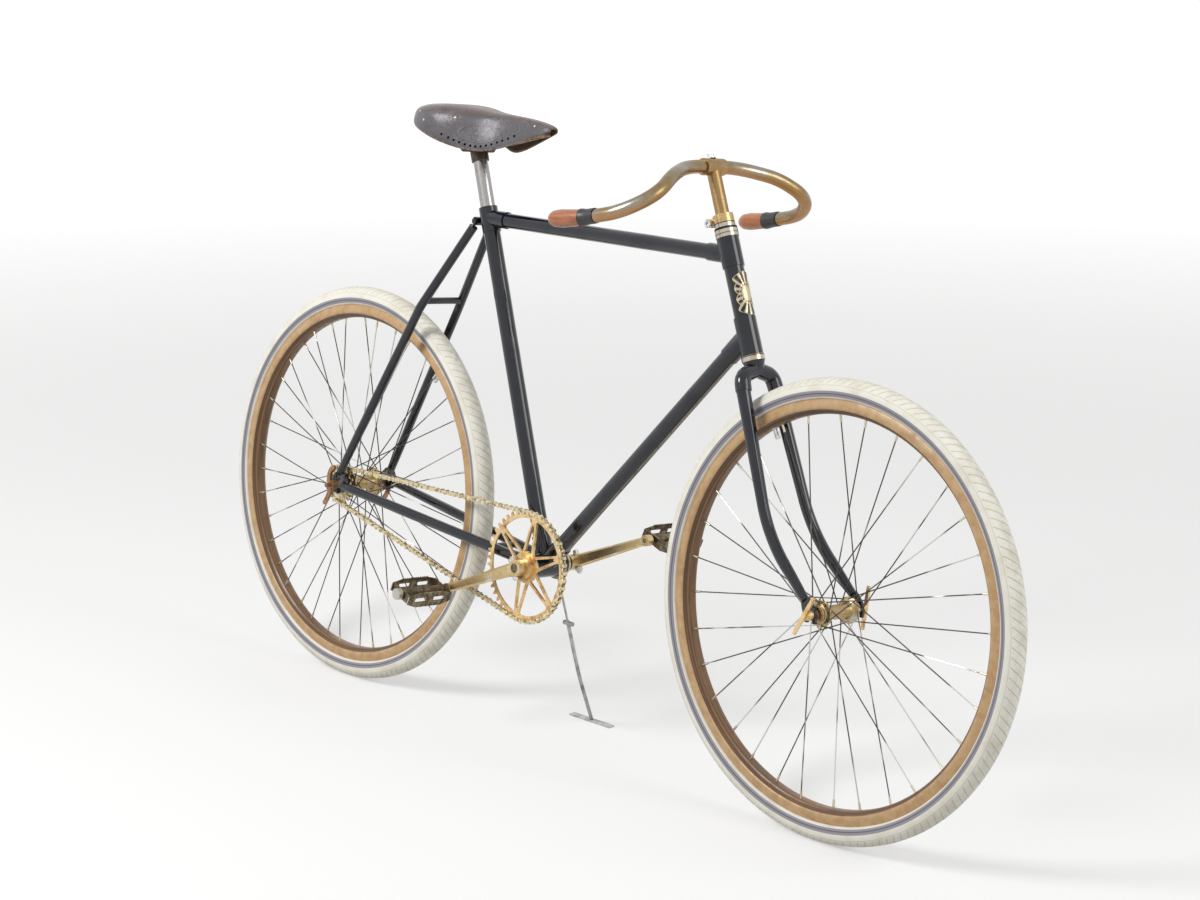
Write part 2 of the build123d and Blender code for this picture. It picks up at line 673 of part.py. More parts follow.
# Above the head tube: the adjusting race, its lock nut, and the clip that pinches the steerer
steerer_seat = steerer_radius + seat_gap
race_low = head_tube_length + upper_cup_height + 2 * piece_gap
race_height = 9.5
lock_height = 7.0
race = collar(18.4, race_height, steerer_seat, race_low)
race += collar(16.4, lock_height, steerer_seat, race_low + race_height)
clip_low = race_low + race_height + lock_height + piece_gap
clip_height = 14.0
clip = collar(16.5, clip_height, steerer_seat, clip_low)
clip_ear = Pos(-22, 0, 7) * Rot(90, 0, 0) * Cylinder(7.0, 20.0) + Pos(-17, 0, 7) * Box(12, 18, 12)
clip += on_steering(clip_ear - Cylinder(steerer_seat, 60), clip_low)
clip -= on_steering(Pos(-22, 0, 7) * Box(24, 2.0, 30), clip_low)
parts["head_collars"] = Compound(children=[race, clip])

# Fork crown: a drum under the lower race with two arms that arch over the tyre, and the steerer
blade_top_y = 37.0
arm_radius = 12.9
drum_low = -24.0
arm_height = -22.0
crown_low = -56.0
crown_top = -lower_cup_height - 2 * piece_gap
crown = on_steering(Cone(arm_radius, 18.0, crown_top - drum_low, align=LOW), drum_low)
for side in (-1, 1):
    arch = FilletPolyline((0, 0, arm_height), (0, side * (blade_top_y - 3), arm_height - 11),
                          (0, side * blade_top_y, crown_low), radius=19)
    crown += steering * swept(arch, arm_radius)
crown -= on_steering(Cylinder(60, 40, align=LOW), crown_top)
crown += on_steering(Cylinder(steerer_radius, clip_low + clip_height - 1 - crown_top, align=LOW), crown_top)

# Fork blades: tapering tubes, straight along the steering axis, then bent forward to the axle
blade_bend_rise = 133.7
blade_bend_y = 50.5
blade_bend_sweep = 250.0
blade_socket = 10.0
fork_end_outline = [(-10, -12), (-18, 8), (-22, 20), (-8, 26), (6, 12), (11, 0), (10, -12)]
fork_blades = []
fork_ends = []
for side in (-1, 1):
    start = steering.from_local_coords(Vector(0, side * blade_top_y, crown_low + blade_socket))
    corner = axis_foot + head_up * blade_bend_rise + Vector(0, side * blade_bend_y, 0)
    tip = front_hub + (-14, side * (front_end_inner + end_plate / 2), 20)
    run, tail = unit(start, corner), unit(corner, tip)
    tangent_length = blade_bend_sweep * tan(radians(run.get_angle(tail)) / 2)
    bend_start, bend_end = corner - run * tangent_length, corner + tail * tangent_length
    blade = tapered(start, bend_start, fork_blade_radius, fork_bend_radius)
    blade += swept(TangentArc(bend_start, bend_end, tangent=run), fork_bend_radius)
    blade += tapered(bend_end, tip, fork_bend_radius, fork_tip_radius)
    fork_blades.append(blade)
    crown -= rod(start, corner, fork_blade_radius + seat_gap)
    y_low = front_end_inner if side > 0 else -front_end_inner - end_plate
    outline = [(front_hub.X + x, front_hub.Z + z) for x, z in fork_end_outline]
    plate = side_plate(outline, y_low, y_low + end_plate)
    plate -= rod(tip + tail * 0.4, tip - tail * 50, fork_tip_radius + 1.6)
    plate -= rod((front_hub.X, y_low - 5, front_hub.Z), (front_hub.X, y_low + 10, front_hub.Z), slot_half)
    plate -= Pos(front_hub.X, y_low, front_hub.Z - 8) * Box(2 * slot_half, 20, 16)
    fork_ends.append(plate)
parts["fork_crown"] = crown
parts["fork_blades"] = Compound(children=fork_blades)
parts["fork_ends"] = Compound(children=fork_ends)

# Stem: a plain tube with a sleeve across its top for the bar, and the expander bolt's head
stem_rise = 116.4
stem_radius = 11.1
sleeve_half = 22.0
sleeve_radius = bar_radius + seat_gap + 2.6
stem_height = head_tube_length + stem_rise
stem_low = clip_low + clip_height - 1 + piece_gap
stem_centre = steering.from_local_coords(Vector(0, 0, stem_height))
sleeve_end = Vector(0, sleeve_half, 0)
stem = on_steering(Cylinder(stem_radius, stem_height - stem_low, align=LOW), stem_low)
stem += rod(stem_centre - sleeve_end, stem_centre + sleeve_end, sleeve_radius)
stem += on_steering(Cylinder(8.0, 2.0, align=LOW), stem_height + sleeve_radius - 1)
stem += on_steering(extrude(RegularPolygon(6.4, 6), amount=8.0), stem_height + sleeve_radius)
parts["stem"] = stem - rod(stem_centre - sleeve_end * 2, stem_centre + sleeve_end * 2, bar_radius + seat_gap)

# Handlebar: one bent tube, out and slightly forward from the stem, then round and back to the grips
bar_route = [(0, 0, 0), (0, 58, 0), (32, 120, -13), (52.5, 169, -40), (14, 206, -72),
             (-60, 209, -88), (-119, 216, -96)]
bar_bends = [135, 150, 50, 85, 40]
half_bars = []
for side in (-1, 1):
    route = [stem_centre + Vector(x, side * y, z) for x, y, z in bar_route]
    half_bars.append(swept(FilletPolyline(*route, radius=bar_bends), bar_radius))
parts["handlebar"] = half_bars[0] + half_bars[1]

# Grips: turned wood, swelling towards a rounded end, bored for the bar
grip_front = 4.0
grip_length = 58.0
grip_neck_radius = 12.6
grip_swell_radius = 14.3
grip_end_radius = 12.8
grip_dome = 7.0
grips = []
for side in (-1, 1):
    corner, bar_end = [stem_centre + Vector(x, side * y, z) for x, y, z in bar_route[-2:]]
    way = unit(corner, bar_end)
    front, swell = corner + way * grip_front, corner + way * (grip_front + 44)
    back = corner + way * (grip_front + grip_length)
    grip = tapered(front, swell, grip_neck_radius, grip_swell_radius)
    grip += tapered(swell, back, grip_swell_radius, grip_end_radius)
    grip += tapered(back, back + way * grip_dome, grip_end_radius, grip_end_radius - grip_dome / 2)
    grips.append(grip - rod(corner, bar_end + way * piece_gap, bar_radius + seat_gap))
parts["grips"] = Compound(children=grips)

# Seat pin, and the frame of the saddle: a collar, a cross tube and two rails of bent wire
clamp_centre = bracket + seat_up * (saddle_clamp_rise / seat_up.Z)
pin_foot = seat_node - seat_up * seat_pin_depth
pin_top = clamp_centre - seat_up * 12
collar_low = clamp_centre - seat_up * 26
collar_radius = seat_pin_radius + 2.6
cross_half = 33.0
cross_radius = 9.5
rail_radius = 3.5
rail_route = [(-80, 46, 40), (-62, 40, 8), (0, 24, 0), (72, 16, 12), (170, 7, 34)]
parts["seat_pin"] = rod(pin_foot, pin_top, seat_pin_radius)
saddle_frame = rod(clamp_centre - (0, cross_half, 0), clamp_centre + (0, cross_half, 0), cross_radius)
saddle_frame += rod(collar_low, clamp_centre + seat_up * 4, collar_radius)
saddle_frame -= rod(pin_foot, pin_top + seat_up * piece_gap, seat_pin_radius + seat_gap)
rail_seats = []
for side in (-1, 1):
    route = [clamp_centre + Vector(x, side * y, z) for x, y, z in rail_route]
    saddle_frame += swept(FilletPolyline(*route, radius=14), rail_radius, wire_sides)
    for inner, end in ((route[1], route[0]), (route[-2], route[-1])):
        rail_seats.append(rod(inner, end + unit(inner, end) * piece_gap, rail_radius + piece_gap))
parts["saddle_frame"] = saddle_frame

# Saddle: one hide, open below, drawn from a row of outlines across it
hide_thickness = 4.5
saddle_rows = (
    # x from the clamp, half width and height of the top, half width and height of the flap's foot
    (-91, 58, 56, 66, 41),
    (-80, 71, 62, 76, 29),
    (-58, 76, 67, 79, 19),
    (-23, 69, 67, 76, 8),
    (17, 50, 65, 60, -2),
    (52, 34, 63, 45, -6),
    (87, 24, 62, 34, 1),
    (127, 18, 60, 26, 14),
    (162, 14.5, 57, 19, 27),
    (197, 8, 48, 9, 40),
)


def saddle_ring(x, top_half, top, foot_half, foot):
    """Closed row of corners across the saddle, from one flap's foot over the top to the other."""
    drop = top - foot
    half = [(foot_half, foot), (top_half + 1, top - drop * 0.3), (top_half * 0.72, top)]
    across = half + [(-y, z) for y, z in reversed(half)]
    return [clamp_centre + Vector(x, y, z) for y, z in across]


def solid_of_rings(rings):
    """Closed solid of flat triangles through rows of corners."""
    faces = [make_face(Polyline(*ring, close=True)) for ring in (rings[0], rings[-1])]
    for near, far in zip(rings, rings[1:]):
        for corner in range(len(near)):
            after = (corner + 1) % len(near)
            faces.append(make_face(Polyline(near[corner], near[after], far[after], close=True)))
            faces.append(make_face(Polyline(near[corner], far[after], far[corner], close=True)))
    return Solid(Shell(faces))


hollow_rows = []
for x, top_half, top, foot_half, foot in saddle_rows[1:-1]:
    hollow_rows.append((x, top_half - hide_thickness, top - hide_thickness,
                        foot_half - hide_thickness, foot - 4 * hide_thickness))
hide = solid_of_rings([saddle_ring(*row) for row in saddle_rows])
hide -= solid_of_rings([saddle_ring(*row) for row in hollow_rows])
for seat in rail_seats:
    hide -= seat
parts["saddle"] = hide

# Prop stand: a thin rod from a pad under the bracket, a clamp, a lower tube and a foot bar
lean = radians(lean_angle)
floor_lift = tyre_section_radius * (1 - cos(lean)) / cos(lean)
foot_seat = Vector(bracket.X, stand_foot_y, stand_foot_y * tan(lean) - floor_lift)
foot_up = Vector(0, -sin(lean), cos(lean))
stand_top = bracket + (4, 28, -shell_radius - 4.5)
knee = Vector(bracket.X + stand_knee[0], stand_knee[1], stand_knee[2])
stand_joint = stand_top + (knee - stand_top) * 0.42
stand_way = unit(stand_joint, knee)
pad = rod(bracket + (0, 22, 0), bracket + (0, 33.5, 0), shell_radius + 5)
pad -= rod(bracket, bracket + cup_side, shell_radius + piece_gap)
pad &= Pos(bracket.X + 4, 28, bracket.Z - 25) * Box(26, 30, 26)
parts["prop_stand_rod"] = rod(stand_top, stand_joint, stand_rod_radius) + pad
tube_path = FilletPolyline(stand_joint + stand_way * piece_gap, knee,
                           foot_seat + foot_up * (foot_thickness + piece_gap), radius=60)
stand_clamp = stand_joint + stand_way * 4.8
foot_plane = Plane(origin=foot_seat, x_dir=(1, 0, 0), z_dir=foot_up)
stand_tube = swept(tube_path, stand_tube_radius)
stand_tube += rod(stand_clamp - (9, 0, 0), stand_clamp + (12, 0, 0), 4.0)
stand_tube -= foot_plane * Pos(0, 0, foot_thickness + piece_gap - 20) * Box(60, 60, 40)
parts["prop_stand_tube"] = stand_tube
parts["prop_stand_foot"] = foot_plane * Box(foot_length, foot_width, foot_thickness, align=LOW)

# Lean the bicycle on to its stand, set it on the floor, and put the origin below its middle
leaned = {name: Rot(-lean_angle, 0, 0) * solid for name, solid in parts.items()}
boxes = [solid.bounding_box() for solid in leaned.values()]
low = [min(getattr(box.min, axis) for box in boxes) for axis in "XYZ"]
high = [max(getattr(box.max, axis) for box in boxes) for axis in "XYZ"]
shift = Vector(-(low[0] + high[0]) / 2, -(low[1] + high[1]) / 2, -low[2])

if __name__ == "__main__":
    os.makedirs("parts", exist_ok=True)
    for name, solid in leaned.items():
        export_step(Pos(*shift) * solid, f"parts/{name}.step")
    print("size", [round(h - l, 1) for l, h in zip(low, high)], "nodes", len(parts))
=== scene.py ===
import json
from math import acos, atan2, cos, degrees, hypot, pi, radians, sin, sqrt, tau

import bmesh
import bpy
from mathutils import Matrix, Vector
from mathutils.bvhtree import BVHTree


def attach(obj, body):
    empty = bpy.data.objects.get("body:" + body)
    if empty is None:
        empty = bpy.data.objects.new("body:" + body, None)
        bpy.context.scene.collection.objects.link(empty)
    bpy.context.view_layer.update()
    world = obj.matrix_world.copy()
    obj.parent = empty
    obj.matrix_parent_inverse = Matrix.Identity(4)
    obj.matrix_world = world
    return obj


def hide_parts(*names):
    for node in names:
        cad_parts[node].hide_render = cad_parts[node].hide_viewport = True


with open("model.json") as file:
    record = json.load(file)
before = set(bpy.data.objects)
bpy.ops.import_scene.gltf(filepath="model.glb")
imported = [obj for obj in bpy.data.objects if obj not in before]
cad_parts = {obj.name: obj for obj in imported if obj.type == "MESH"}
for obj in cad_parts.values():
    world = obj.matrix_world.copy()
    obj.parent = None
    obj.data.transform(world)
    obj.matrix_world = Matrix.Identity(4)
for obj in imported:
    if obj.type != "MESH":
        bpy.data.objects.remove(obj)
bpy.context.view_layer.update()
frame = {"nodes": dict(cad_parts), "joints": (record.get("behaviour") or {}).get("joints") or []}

# The bicycle stands leaning to its left on a prop stand. Everything below is drawn on an upright
# bicycle in millimetres, X forward, Y to the left and Z up from the floor under the rear hub,
# and is leaned into place with its mesh.
joints = {joint["name"]: joint for joint in frame["joints"]}
wheel_radius = 357.5
ahead = Vector((1, 0, 0))
leftward = Vector(joints["rear_wheel_spin"]["axis"])
upward = ahead.cross(leftward)
rear_hub_place = Vector(joints["rear_wheel_spin"]["pos_m"])
floor_mark = rear_hub_place - upward * wheel_radius / 1000
upright = Matrix.Translation(floor_mark) @ Matrix((ahead, leftward, upward)).transposed().to_4x4()
upright = upright @ Matrix.Scale(0.001, 4)


def drawn_at(joint):
    """A joint's place on the upright drawing, in millimetres."""
    return upright.inverted() @ Vector(joints[joint]["pos_m"])


rear_hub = drawn_at("rear_wheel_spin")
front_hub = drawn_at("front_wheel_spin")
bracket = drawn_at("crank_spin")
head_foot = drawn_at("steering_turn")


def operator(operation):
    """The methods of an operator and of its reflected form."""
    return (lambda self, other: self.nodes.maths(operation, self, other),
            lambda self, other: self.nodes.maths(operation, other, self))


class Reading:
    """A value that comes out of a node. Sums on it add Math nodes to its tree."""

    def __init__(self, nodes, socket):
        self.nodes = nodes
        self.socket = socket

    __add__, __radd__ = operator("ADD")
    __sub__, __rsub__ = operator("SUBTRACT")
    __mul__, __rmul__ = operator("MULTIPLY")
    __truediv__, __rtruediv__ = operator("DIVIDE")
    __gt__ = operator("GREATER_THAN")[0]
    __lt__ = operator("LESS_THAN")[0]

    def __abs__(self):
        return self.math("ABSOLUTE")

    def __getitem__(self, output):
        return Reading(self.nodes, self.socket.node.outputs[output])

    def math(self, operation, *others):
        return self.nodes.maths(operation, self, *others)

    def ramp(self, low, high):
        """0 below low, 1 above high and smooth between."""
        return self.nodes.add("ShaderNodeMapRange", {"Value": self, "From Min": low, "From Max": high},
                              interpolation_type="SMOOTHSTEP")

    def band(self, out, full, fading, gone):
        """1 from full to fading, and smoothly 0 below out and above gone."""
        return self.ramp(out, full) * (1 - self.ramp(fading, gone))


class Nodes:
    """The nodes of one material or one Geometry Nodes tree."""

    def __init__(self, tree):
        self.tree = tree

    def add(self, kind, values=None, output=0, **settings):
        """Makes a node, sets it, gives its sockets values or links, and returns its output."""
        node = self.tree.nodes.new(kind)
        for name, setting in settings.items():
            setattr(node, name, setting)
        for socket, value in (values or {}).items():
            self.give(node.inputs[socket], value)
        return Reading(self, node.outputs[output]) if node.outputs else node

    def give(self, socket, value):
        if isinstance(value, Reading):
            self.tree.links.new(value.socket, socket)
        elif socket.type == "RGBA" and len(value) == 3:
            socket.default_value = (*value, 1)
        else:
            socket.default_value = value

    def maths(self, operation, *values):
        return self.add("ShaderNodeMath", dict(enumerate(values)), operation=operation)

    def vector(self, operation, *vectors, output="Value"):
        return self.add("ShaderNodeVectorMath", dict(enumerate(vectors)), output, operation=operation)

    def point(self, x=0.0, y=0.0, z=0.0):
        return self.add("ShaderNodeCombineXYZ", {0: x, 1: y, 2: z})


class Finish(Nodes):
    """A material: fixed values on the shader's own sockets, and readings where the surface varies."""

    def __init__(self, name, **fixed):
        self.material = bpy.data.materials.new(name)
        self.material.use_nodes = True
        super().__init__(self.material.node_tree)
        self.shader = self.tree.nodes["Principled BSDF"]
        self.set(**fixed)
        self.spot = self.add("ShaderNodeTexCoord", output="Object")

    def set(self, **values):
        """Gives the shader's sockets values or readings."""
        for socket, value in values.items():
            self.give(self.shader.inputs[socket.replace("_", " ")], value)

    def noise(self, size, detail=3.0, where=None, rough=0.55):
        """Noise from 0 to 1 whose features are about size metres across."""
        return self.add("ShaderNodeTexNoise", {
            "Vector": where or self.spot, "Scale": 1 / size, "Detail": detail, "Roughness": rough})

    def blend(self, share, under, over):
        """A colour between under and over."""
        return self.add("ShaderNodeMix", {0: share, 6: under, 7: over}, output=2, data_type="RGBA")

    def surface_map(self):
        """The piece's own surface map: X along it, Y across it, both from 0 to 1."""
        return self.add("ShaderNodeSeparateXYZ", {0: self.add("ShaderNodeUVMap", uv_map="surface")})

    def along(self, way, start):
        """Metres from a point of the bicycle as it stands, along a direction."""
        return self.vector("DOT_PRODUCT", self.vector("SUBTRACT", self.spot, start, output="Vector"), way)

    def away(self, place):
        """Metres from a point of the bicycle as it stands."""
        return self.vector("DISTANCE", self.spot, place)

    def facing(self, way):
        """1 where the surface faces a direction of the bicycle, -1 where it faces the other way."""
        return self.vector("DOT_PRODUCT", self.add("ShaderNodeTexCoord", output="Normal"), way)

    def colour(self, under, *layers):
        """Colours the finish, and lays each layer's colour over it by its share."""
        for share, over in layers:
            under = self.blend(share, under, over)
        self.set(Base_Color=under)

    def tint(self, share, over):
        """Lays one more colour over the finish."""
        under = self.shader.inputs["Base Color"].links[0].from_socket
        self.colour(Reading(self, under), (share, over))

    def emboss(self, height, depth):
        """Raises the surface by height times depth metres."""
        self.set(Normal=self.add("ShaderNodeBump", {"Height": height, "Distance": depth}))


# The solids' own surfaces are joined along their seams and shaded smooth across shallow edges, so that
# a tube or a nut shows round, with its real edges sharp.
class Growth(Nodes):
    """A Geometry Nodes tree with named inputs."""

    def __init__(self, name, inputs):
        super().__init__(bpy.data.node_groups.new(name, "GeometryNodeTree"))
        for size, kind in inputs.items():
            self.tree.interface.new_socket(size, in_out="INPUT", socket_type="NodeSocket" + kind)
        self.tree.interface.new_socket("Geometry", in_out="OUTPUT", socket_type="NodeSocketGeometry")
        self.given = self.add("NodeGroupInput")
        self.keys = {item.name: item.identifier for item in self.tree.interface.items_tree
                     if item.in_out == "INPUT"}

    def end(self, shape):
        self.add("NodeGroupOutput", {0: shape})


smoothing = Growth("smooth_surface", {"Geometry": "Geometry", "Sharp angle": "Float"})
shape = smoothing.add("GeometryNodeMergeByDistance", {"Geometry": smoothing.given, "Distance": 0.00001})
shape = smoothing.add("GeometryNodeSetShadeSmooth", {"Geometry": shape, "Shade Smooth": True}, domain="FACE")
shallow = smoothing.add("GeometryNodeInputMeshEdgeAngle") < smoothing.given["Sharp angle"]
smoothing.end(smoothing.add("GeometryNodeSetShadeSmooth", {"Geometry": shape, "Shade Smooth": shallow},
                            domain="EDGE"))
sharp_angle = radians(28)


def paint(finish, *nodes):
    """Gives the solids' own meshes a finish."""
    for node in nodes:
        holder = frame["nodes"][node]
        mesh = holder.data
        mesh.materials.clear()
        mesh.materials.append(finish.material)
        if mesh.has_custom_normals:
            mesh.attributes.remove(mesh.attributes["custom_normal"])
        smoother = holder.modifiers.new("smooth", "NODES")
        smoother.node_group = smoothing.tree
        smoother[smoothing.keys["Sharp angle"]] = sharp_angle


# The frame is brazed from thin steel tubes and lugs and stove-enamelled black. The enamel is deep and
# glossy, dulled in patches, chipped down to rust, and rubbed to bare steel round the rear axle. A pair
# of fine gold lines runs along the underside of the down tube.
def turned_way(way):
    """A direction of the upright drawing, on the bicycle as it stands."""
    return (upright.to_3x3() @ Vector(way)).normalized()


def black_enamel(name, lined=False):
    enamel = Finish(name, Coat_Roughness=0.03, Coat_IOR=1.5, Specular_IOR_Level=0.15)
    haze = enamel.noise(0.06, detail=4).ramp(0.42, 0.8)
    grit = enamel.noise(0.0035, detail=2)
    chips = enamel.noise(0.009, detail=5, rough=0.7).ramp(0.7, 0.73)
    near_axle = 1 - enamel.away(rear_hub_place).ramp(0.06, 0.085)
    rubbed = near_axle * enamel.noise(0.008, detail=4).ramp(0.47, 0.55)
    enamel.colour((0.0014, 0.0024, 0.0075), (haze, (0.006, 0.009, 0.019)),
                  (chips, (0.085, 0.05, 0.03)), (rubbed, (0.11, 0.115, 0.1)))
    if lined:
        under = turned_way(bracket - head_foot).cross(leftward)
        line = abs(enamel.facing(leftward)).band(0.17, 0.19, 0.27, 0.29) * (enamel.facing(under) > 0)
        gold_left = enamel.noise(0.012, detail=4).ramp(0.3, 0.45)
        enamel.tint(line * gold_left, (0.42, 0.3, 0.1))
    enamel.set(Roughness=0.14 + haze * 0.22 + chips * 0.3 + rubbed * 0.3,
               Coat_Weight=0.95 - haze * 0.4 - chips * 0.5 - rubbed * 0.5)
    enamel.emboss(grit * 0.1 - chips * 0.6 - rubbed * 0.2, 0.0002)
    return enamel


paint(black_enamel("black_enamel"), "seat_tube", "top_tube", "head_tube", "frame_lugs", "chain_stays",
      "seat_stays", "stay_bridges", "rear_ends", "fork_crown", "fork_blades", "fork_ends")
paint(black_enamel("lined_enamel", lined=True), "down_tube")


# Cream rubber tyres, 28 by 1 1/2 inch. The tread is cut with slanting sipes that stop at the
# shoulder, the cuts darkened as painted shade; the side wall is smooth, with a thin grey-lilac band of
# painted shade just above the rim, where the tyre tucks in to it.
def plain_mesh(name, vertices, faces=()):
    mesh = bpy.data.meshes.new(name)
    mesh.from_pydata(vertices, [], faces)
    return mesh


def placed(name, data):
    """A new object in the scene."""
    item = bpy.data.objects.new(name, data)
    bpy.context.scene.collection.objects.link(item)
    return item


def make_piece(name, shape, finish, body, replaces=(), place=upright, crease=40):
    """A finished piece from vertices, faces and perhaps a surface map, drawn in millimetres."""
    mesh = plain_mesh(name, *shape[:2])
    if len(shape) > 2:
        layer = mesh.uv_layers.new(name="surface")
        for corner, uv in zip(layer.data, shape[2]):
            corner.uv = uv
    facing_out = bmesh.new()
    facing_out.from_mesh(mesh)
    bmesh.ops.recalc_face_normals(facing_out, faces=facing_out.faces[:])
    facing_out.to_mesh(mesh)
    facing_out.free()
    mesh.materials.append(finish.material)
    settle(placed(name, mesh), body, replaces, place, crease)


def settle(piece, body, replaces=(), place=upright, crease=40):
    """Leans a piece's mesh into place, smooths it, and hands it to its body."""
    mesh = piece.data
    mesh.transform(place)
    mesh.validate()
    mesh.shade_smooth()
    mesh.set_sharp_from_angle(angle=radians(crease))
    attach(piece, body)
    if replaces:
        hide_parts(*replaces)


def quads(rows, columns, round_rows=False, round_columns=False):
    """Faces between the points of a grid, which may close on itself along its rows or columns."""
    return [(row * columns + column, row * columns + (column + 1) % columns,
             (row + 1) % rows * columns + (column + 1) % columns, (row + 1) % rows * columns + column)
            for row in range(rows if round_rows else rows - 1)
            for column in range(columns if round_columns else columns - 1)]


def turned(profile, middle, steps=64):
    """Vertices, faces and a surface map of a closed (radius, y) outline turned about Y."""
    vertices, surface = [], []
    across = 1 / len(profile)
    for step in range(steps):
        turn = tau * step / steps
        near, far = step / steps, (step + 1) / steps
        for corner, (radius, y) in enumerate(profile):
            vertices.append(middle + Vector((radius * sin(turn), y, radius * cos(turn))))
            low = corner * across
            surface += [(near, low), (near, low + across), (far, low + across), (far, low)]
    return vertices, quads(steps, len(profile), True, True), surface


tyre_section = 20.0
tyre_middle = wheel_radius - tyre_section
rim_edge_radius = 326.6
tread_blocks = 150.0
tyre_foot = degrees(acos((rim_edge_radius - tyre_middle) / tyre_section))
tyre_arc_steps = 26
tyre_bends = [tyre_foot - 2 * tyre_foot * step / tyre_arc_steps for step in range(tyre_arc_steps + 1)]
tyre_arc = [(tyre_middle + tyre_section * cos(radians(bend)), tyre_section * sin(radians(bend)))
            for bend in tyre_bends]
tyre_feet = [(radius - 1.5, y + inward) for (radius, y), inward in ((tyre_arc[-1], 3), (tyre_arc[0], -3))]
tyre_outline = tyre_arc + tyre_feet
wheel_steps = 288


def tyre_finish(name):
    rubber = Finish(name, Specular_IOR_Level=0.35)
    place = rubber.surface_map()
    lean = (place["Y"] * (len(tyre_outline) / tyre_arc_steps) - 0.5) * (2 * tyre_foot)
    bend = abs(lean)
    tread = 1 - bend.ramp(54, 60)
    sipe = (place["X"] * tread_blocks + lean * 0.018).math("FRACT")
    # The cuts are sunk by the bump and also darkened in the colour below, as painted shade in the grooves.
    cut = ((1 - sipe.ramp(0.0, 0.1)) + sipe.ramp(0.9, 1.0)) * tread
    rib = bend.band(61, 63, 65, 67)
    dirt = rubber.noise(0.035, detail=5).ramp(0.42, 0.75)
    specks = rubber.noise(0.004).ramp(0.62, 0.74)
    # Painted shade: a grey-lilac band on the lower side wall where it tucks in to the rim, darkest along a
    # sunken line in its middle.
    band = bend.band(89, 91, 116, 118)
    rim_crease_shade = bend.band(101, 102.5, 105, 106.5)
    worn = (1 - bend.ramp(6, 45)) * rubber.noise(0.012, detail=4).ramp(0.38, 0.65)
    shade_grey = rubber.blend(rim_crease_shade, (0.3, 0.29, 0.33), (0.15, 0.14, 0.165))
    rubber.colour((0.86, 0.835, 0.74), (dirt, (0.76, 0.715, 0.6)), (worn * 0.4, (0.54, 0.51, 0.43)),
                  (specks * tread * 0.35, (0.42, 0.38, 0.31)),
                  (cut * 0.4 + rib * 0.15, (0.33, 0.29, 0.22)), (band, shade_grey))
    rubber.set(Roughness=0.6 + dirt * 0.18 - band * 0.2)
    rubber.emboss(rubber.noise(0.002, detail=2) * 0.1 - cut * 0.8 + rib * 0.5 - rim_crease_shade, 0.0007)
    return rubber


# Rims of steel painted tan like wood, rounded on the outside, with a shallow well along the
# middle of the inner face. The paint has yellowed unevenly, and is rubbed near the tyre.
rim_floor_radius = 301.6
half_rim = [(326.4, 12.6), (325.6, 13.9), (322.5, 15.0), (317.5, 16.6), (313.0, 17.0), (310.0, 16.4),
            (308.6, 14.8), (307.4, 12.0), (306.4, 10.0), (303.4, 9.0), (302.0, 7.2), (rim_floor_radius, 4.0)]
rim_ring = half_rim + [(radius, -y) for radius, y in reversed(half_rim)]
rim_hollow = [(324.0, -11.2), (306.5, -7.5), (306.5, 7.5), (324.0, 11.2)]
rim_outline = rim_ring + rim_hollow


def rim_finish(name):
    tan = Finish(name, Specular_IOR_Level=0.4, Coat_Roughness=0.25)
    place = tan.surface_map()
    corner = abs(place["Y"] * len(rim_outline) - (len(rim_ring) - 1) / 2)
    # Painted shade: the inner face, turned away from the light, is coloured dark brown, and the lines along
    # its edge and at the step into the well are darker still.
    inner = 1 - corner.ramp(5.2, 5.8)
    lip_groove_shade = corner.band(4.6, 5.2, 5.4, 6.0)
    well_step_shade = corner.band(2.6, 3.2, 3.9, 4.4)
    streak_place = tan.point(place["X"] * 9, corner * 0.55)
    streaks = tan.noise(0.6, detail=6, where=streak_place, rough=0.65).ramp(0.38, 0.66)
    mottle = tan.noise(0.014, detail=5, rough=0.6).ramp(0.35, 0.7)
    stains = tan.noise(0.05, detail=4).ramp(0.5, 0.72)
    inner_face_shade = tan.blend(streaks, (0.235, 0.118, 0.04), (0.105, 0.048, 0.018))
    tan.colour((0.56, 0.365, 0.18), (mottle, (0.46, 0.275, 0.125)), (inner, inner_face_shade),
               (stains * 0.35, (0.26, 0.135, 0.06)), (lip_groove_shade * 0.75 + well_step_shade * 0.7, (0.07, 0.034, 0.016)))
    tan.set(Roughness=0.34 + mottle * 0.2, Coat_Weight=0.3 - stains * 0.2)
    tan.emboss(tan.noise(0.003) - lip_groove_shade - well_step_shade, 0.00016)
    return tan


for wheel, hub in (("front", front_hub), ("rear", rear_hub)):
    make_piece(wheel + "_tyre_rubber", turned(tyre_outline, hub, wheel_steps),
               tyre_finish(wheel + "_cream_rubber"), wheel + "_wheel", [wheel + "_tyre"])
    make_piece(wheel + "_rim_shell", turned(rim_outline, hub, wheel_steps),
               rim_finish(wheel + "_tan_paint"), wheel + "_wheel", [wheel + "_rim"], crease=50)


# Spokes of drawn steel, laced tangentially from the two flanges to brass nipples in the rim's well.
# Each starts in a small round head at its flange. Most have gone dark, a few are still bright.
lacing = Growth("laced_spokes", {
    "Spokes": "Int", "Flange radius": "Float", "Flange place": "Float", "Rim radius": "Float",
    "Crossing": "Float", "Spoke radius": "Float", "Steel": "Material", "Brass": "Material"})
given = lacing.given
order = lacing.add("GeometryNodeInputIndex")
flange = (order / 2).math("FRACT") * 4 - 1
hole = (order / 2).math("FLOOR")
lead = (hole / 2).math("FRACT") * 4 - 1
step = 2 * tau / given["Spokes"]
hub_turn = hole * step + flange * step / 4
rim_turn = hub_turn + lead * step * given["Crossing"]


def ring_point(turn, radius, y):
    return lacing.point(radius * turn.math("COSINE"), y, radius * turn.math("SINE"))


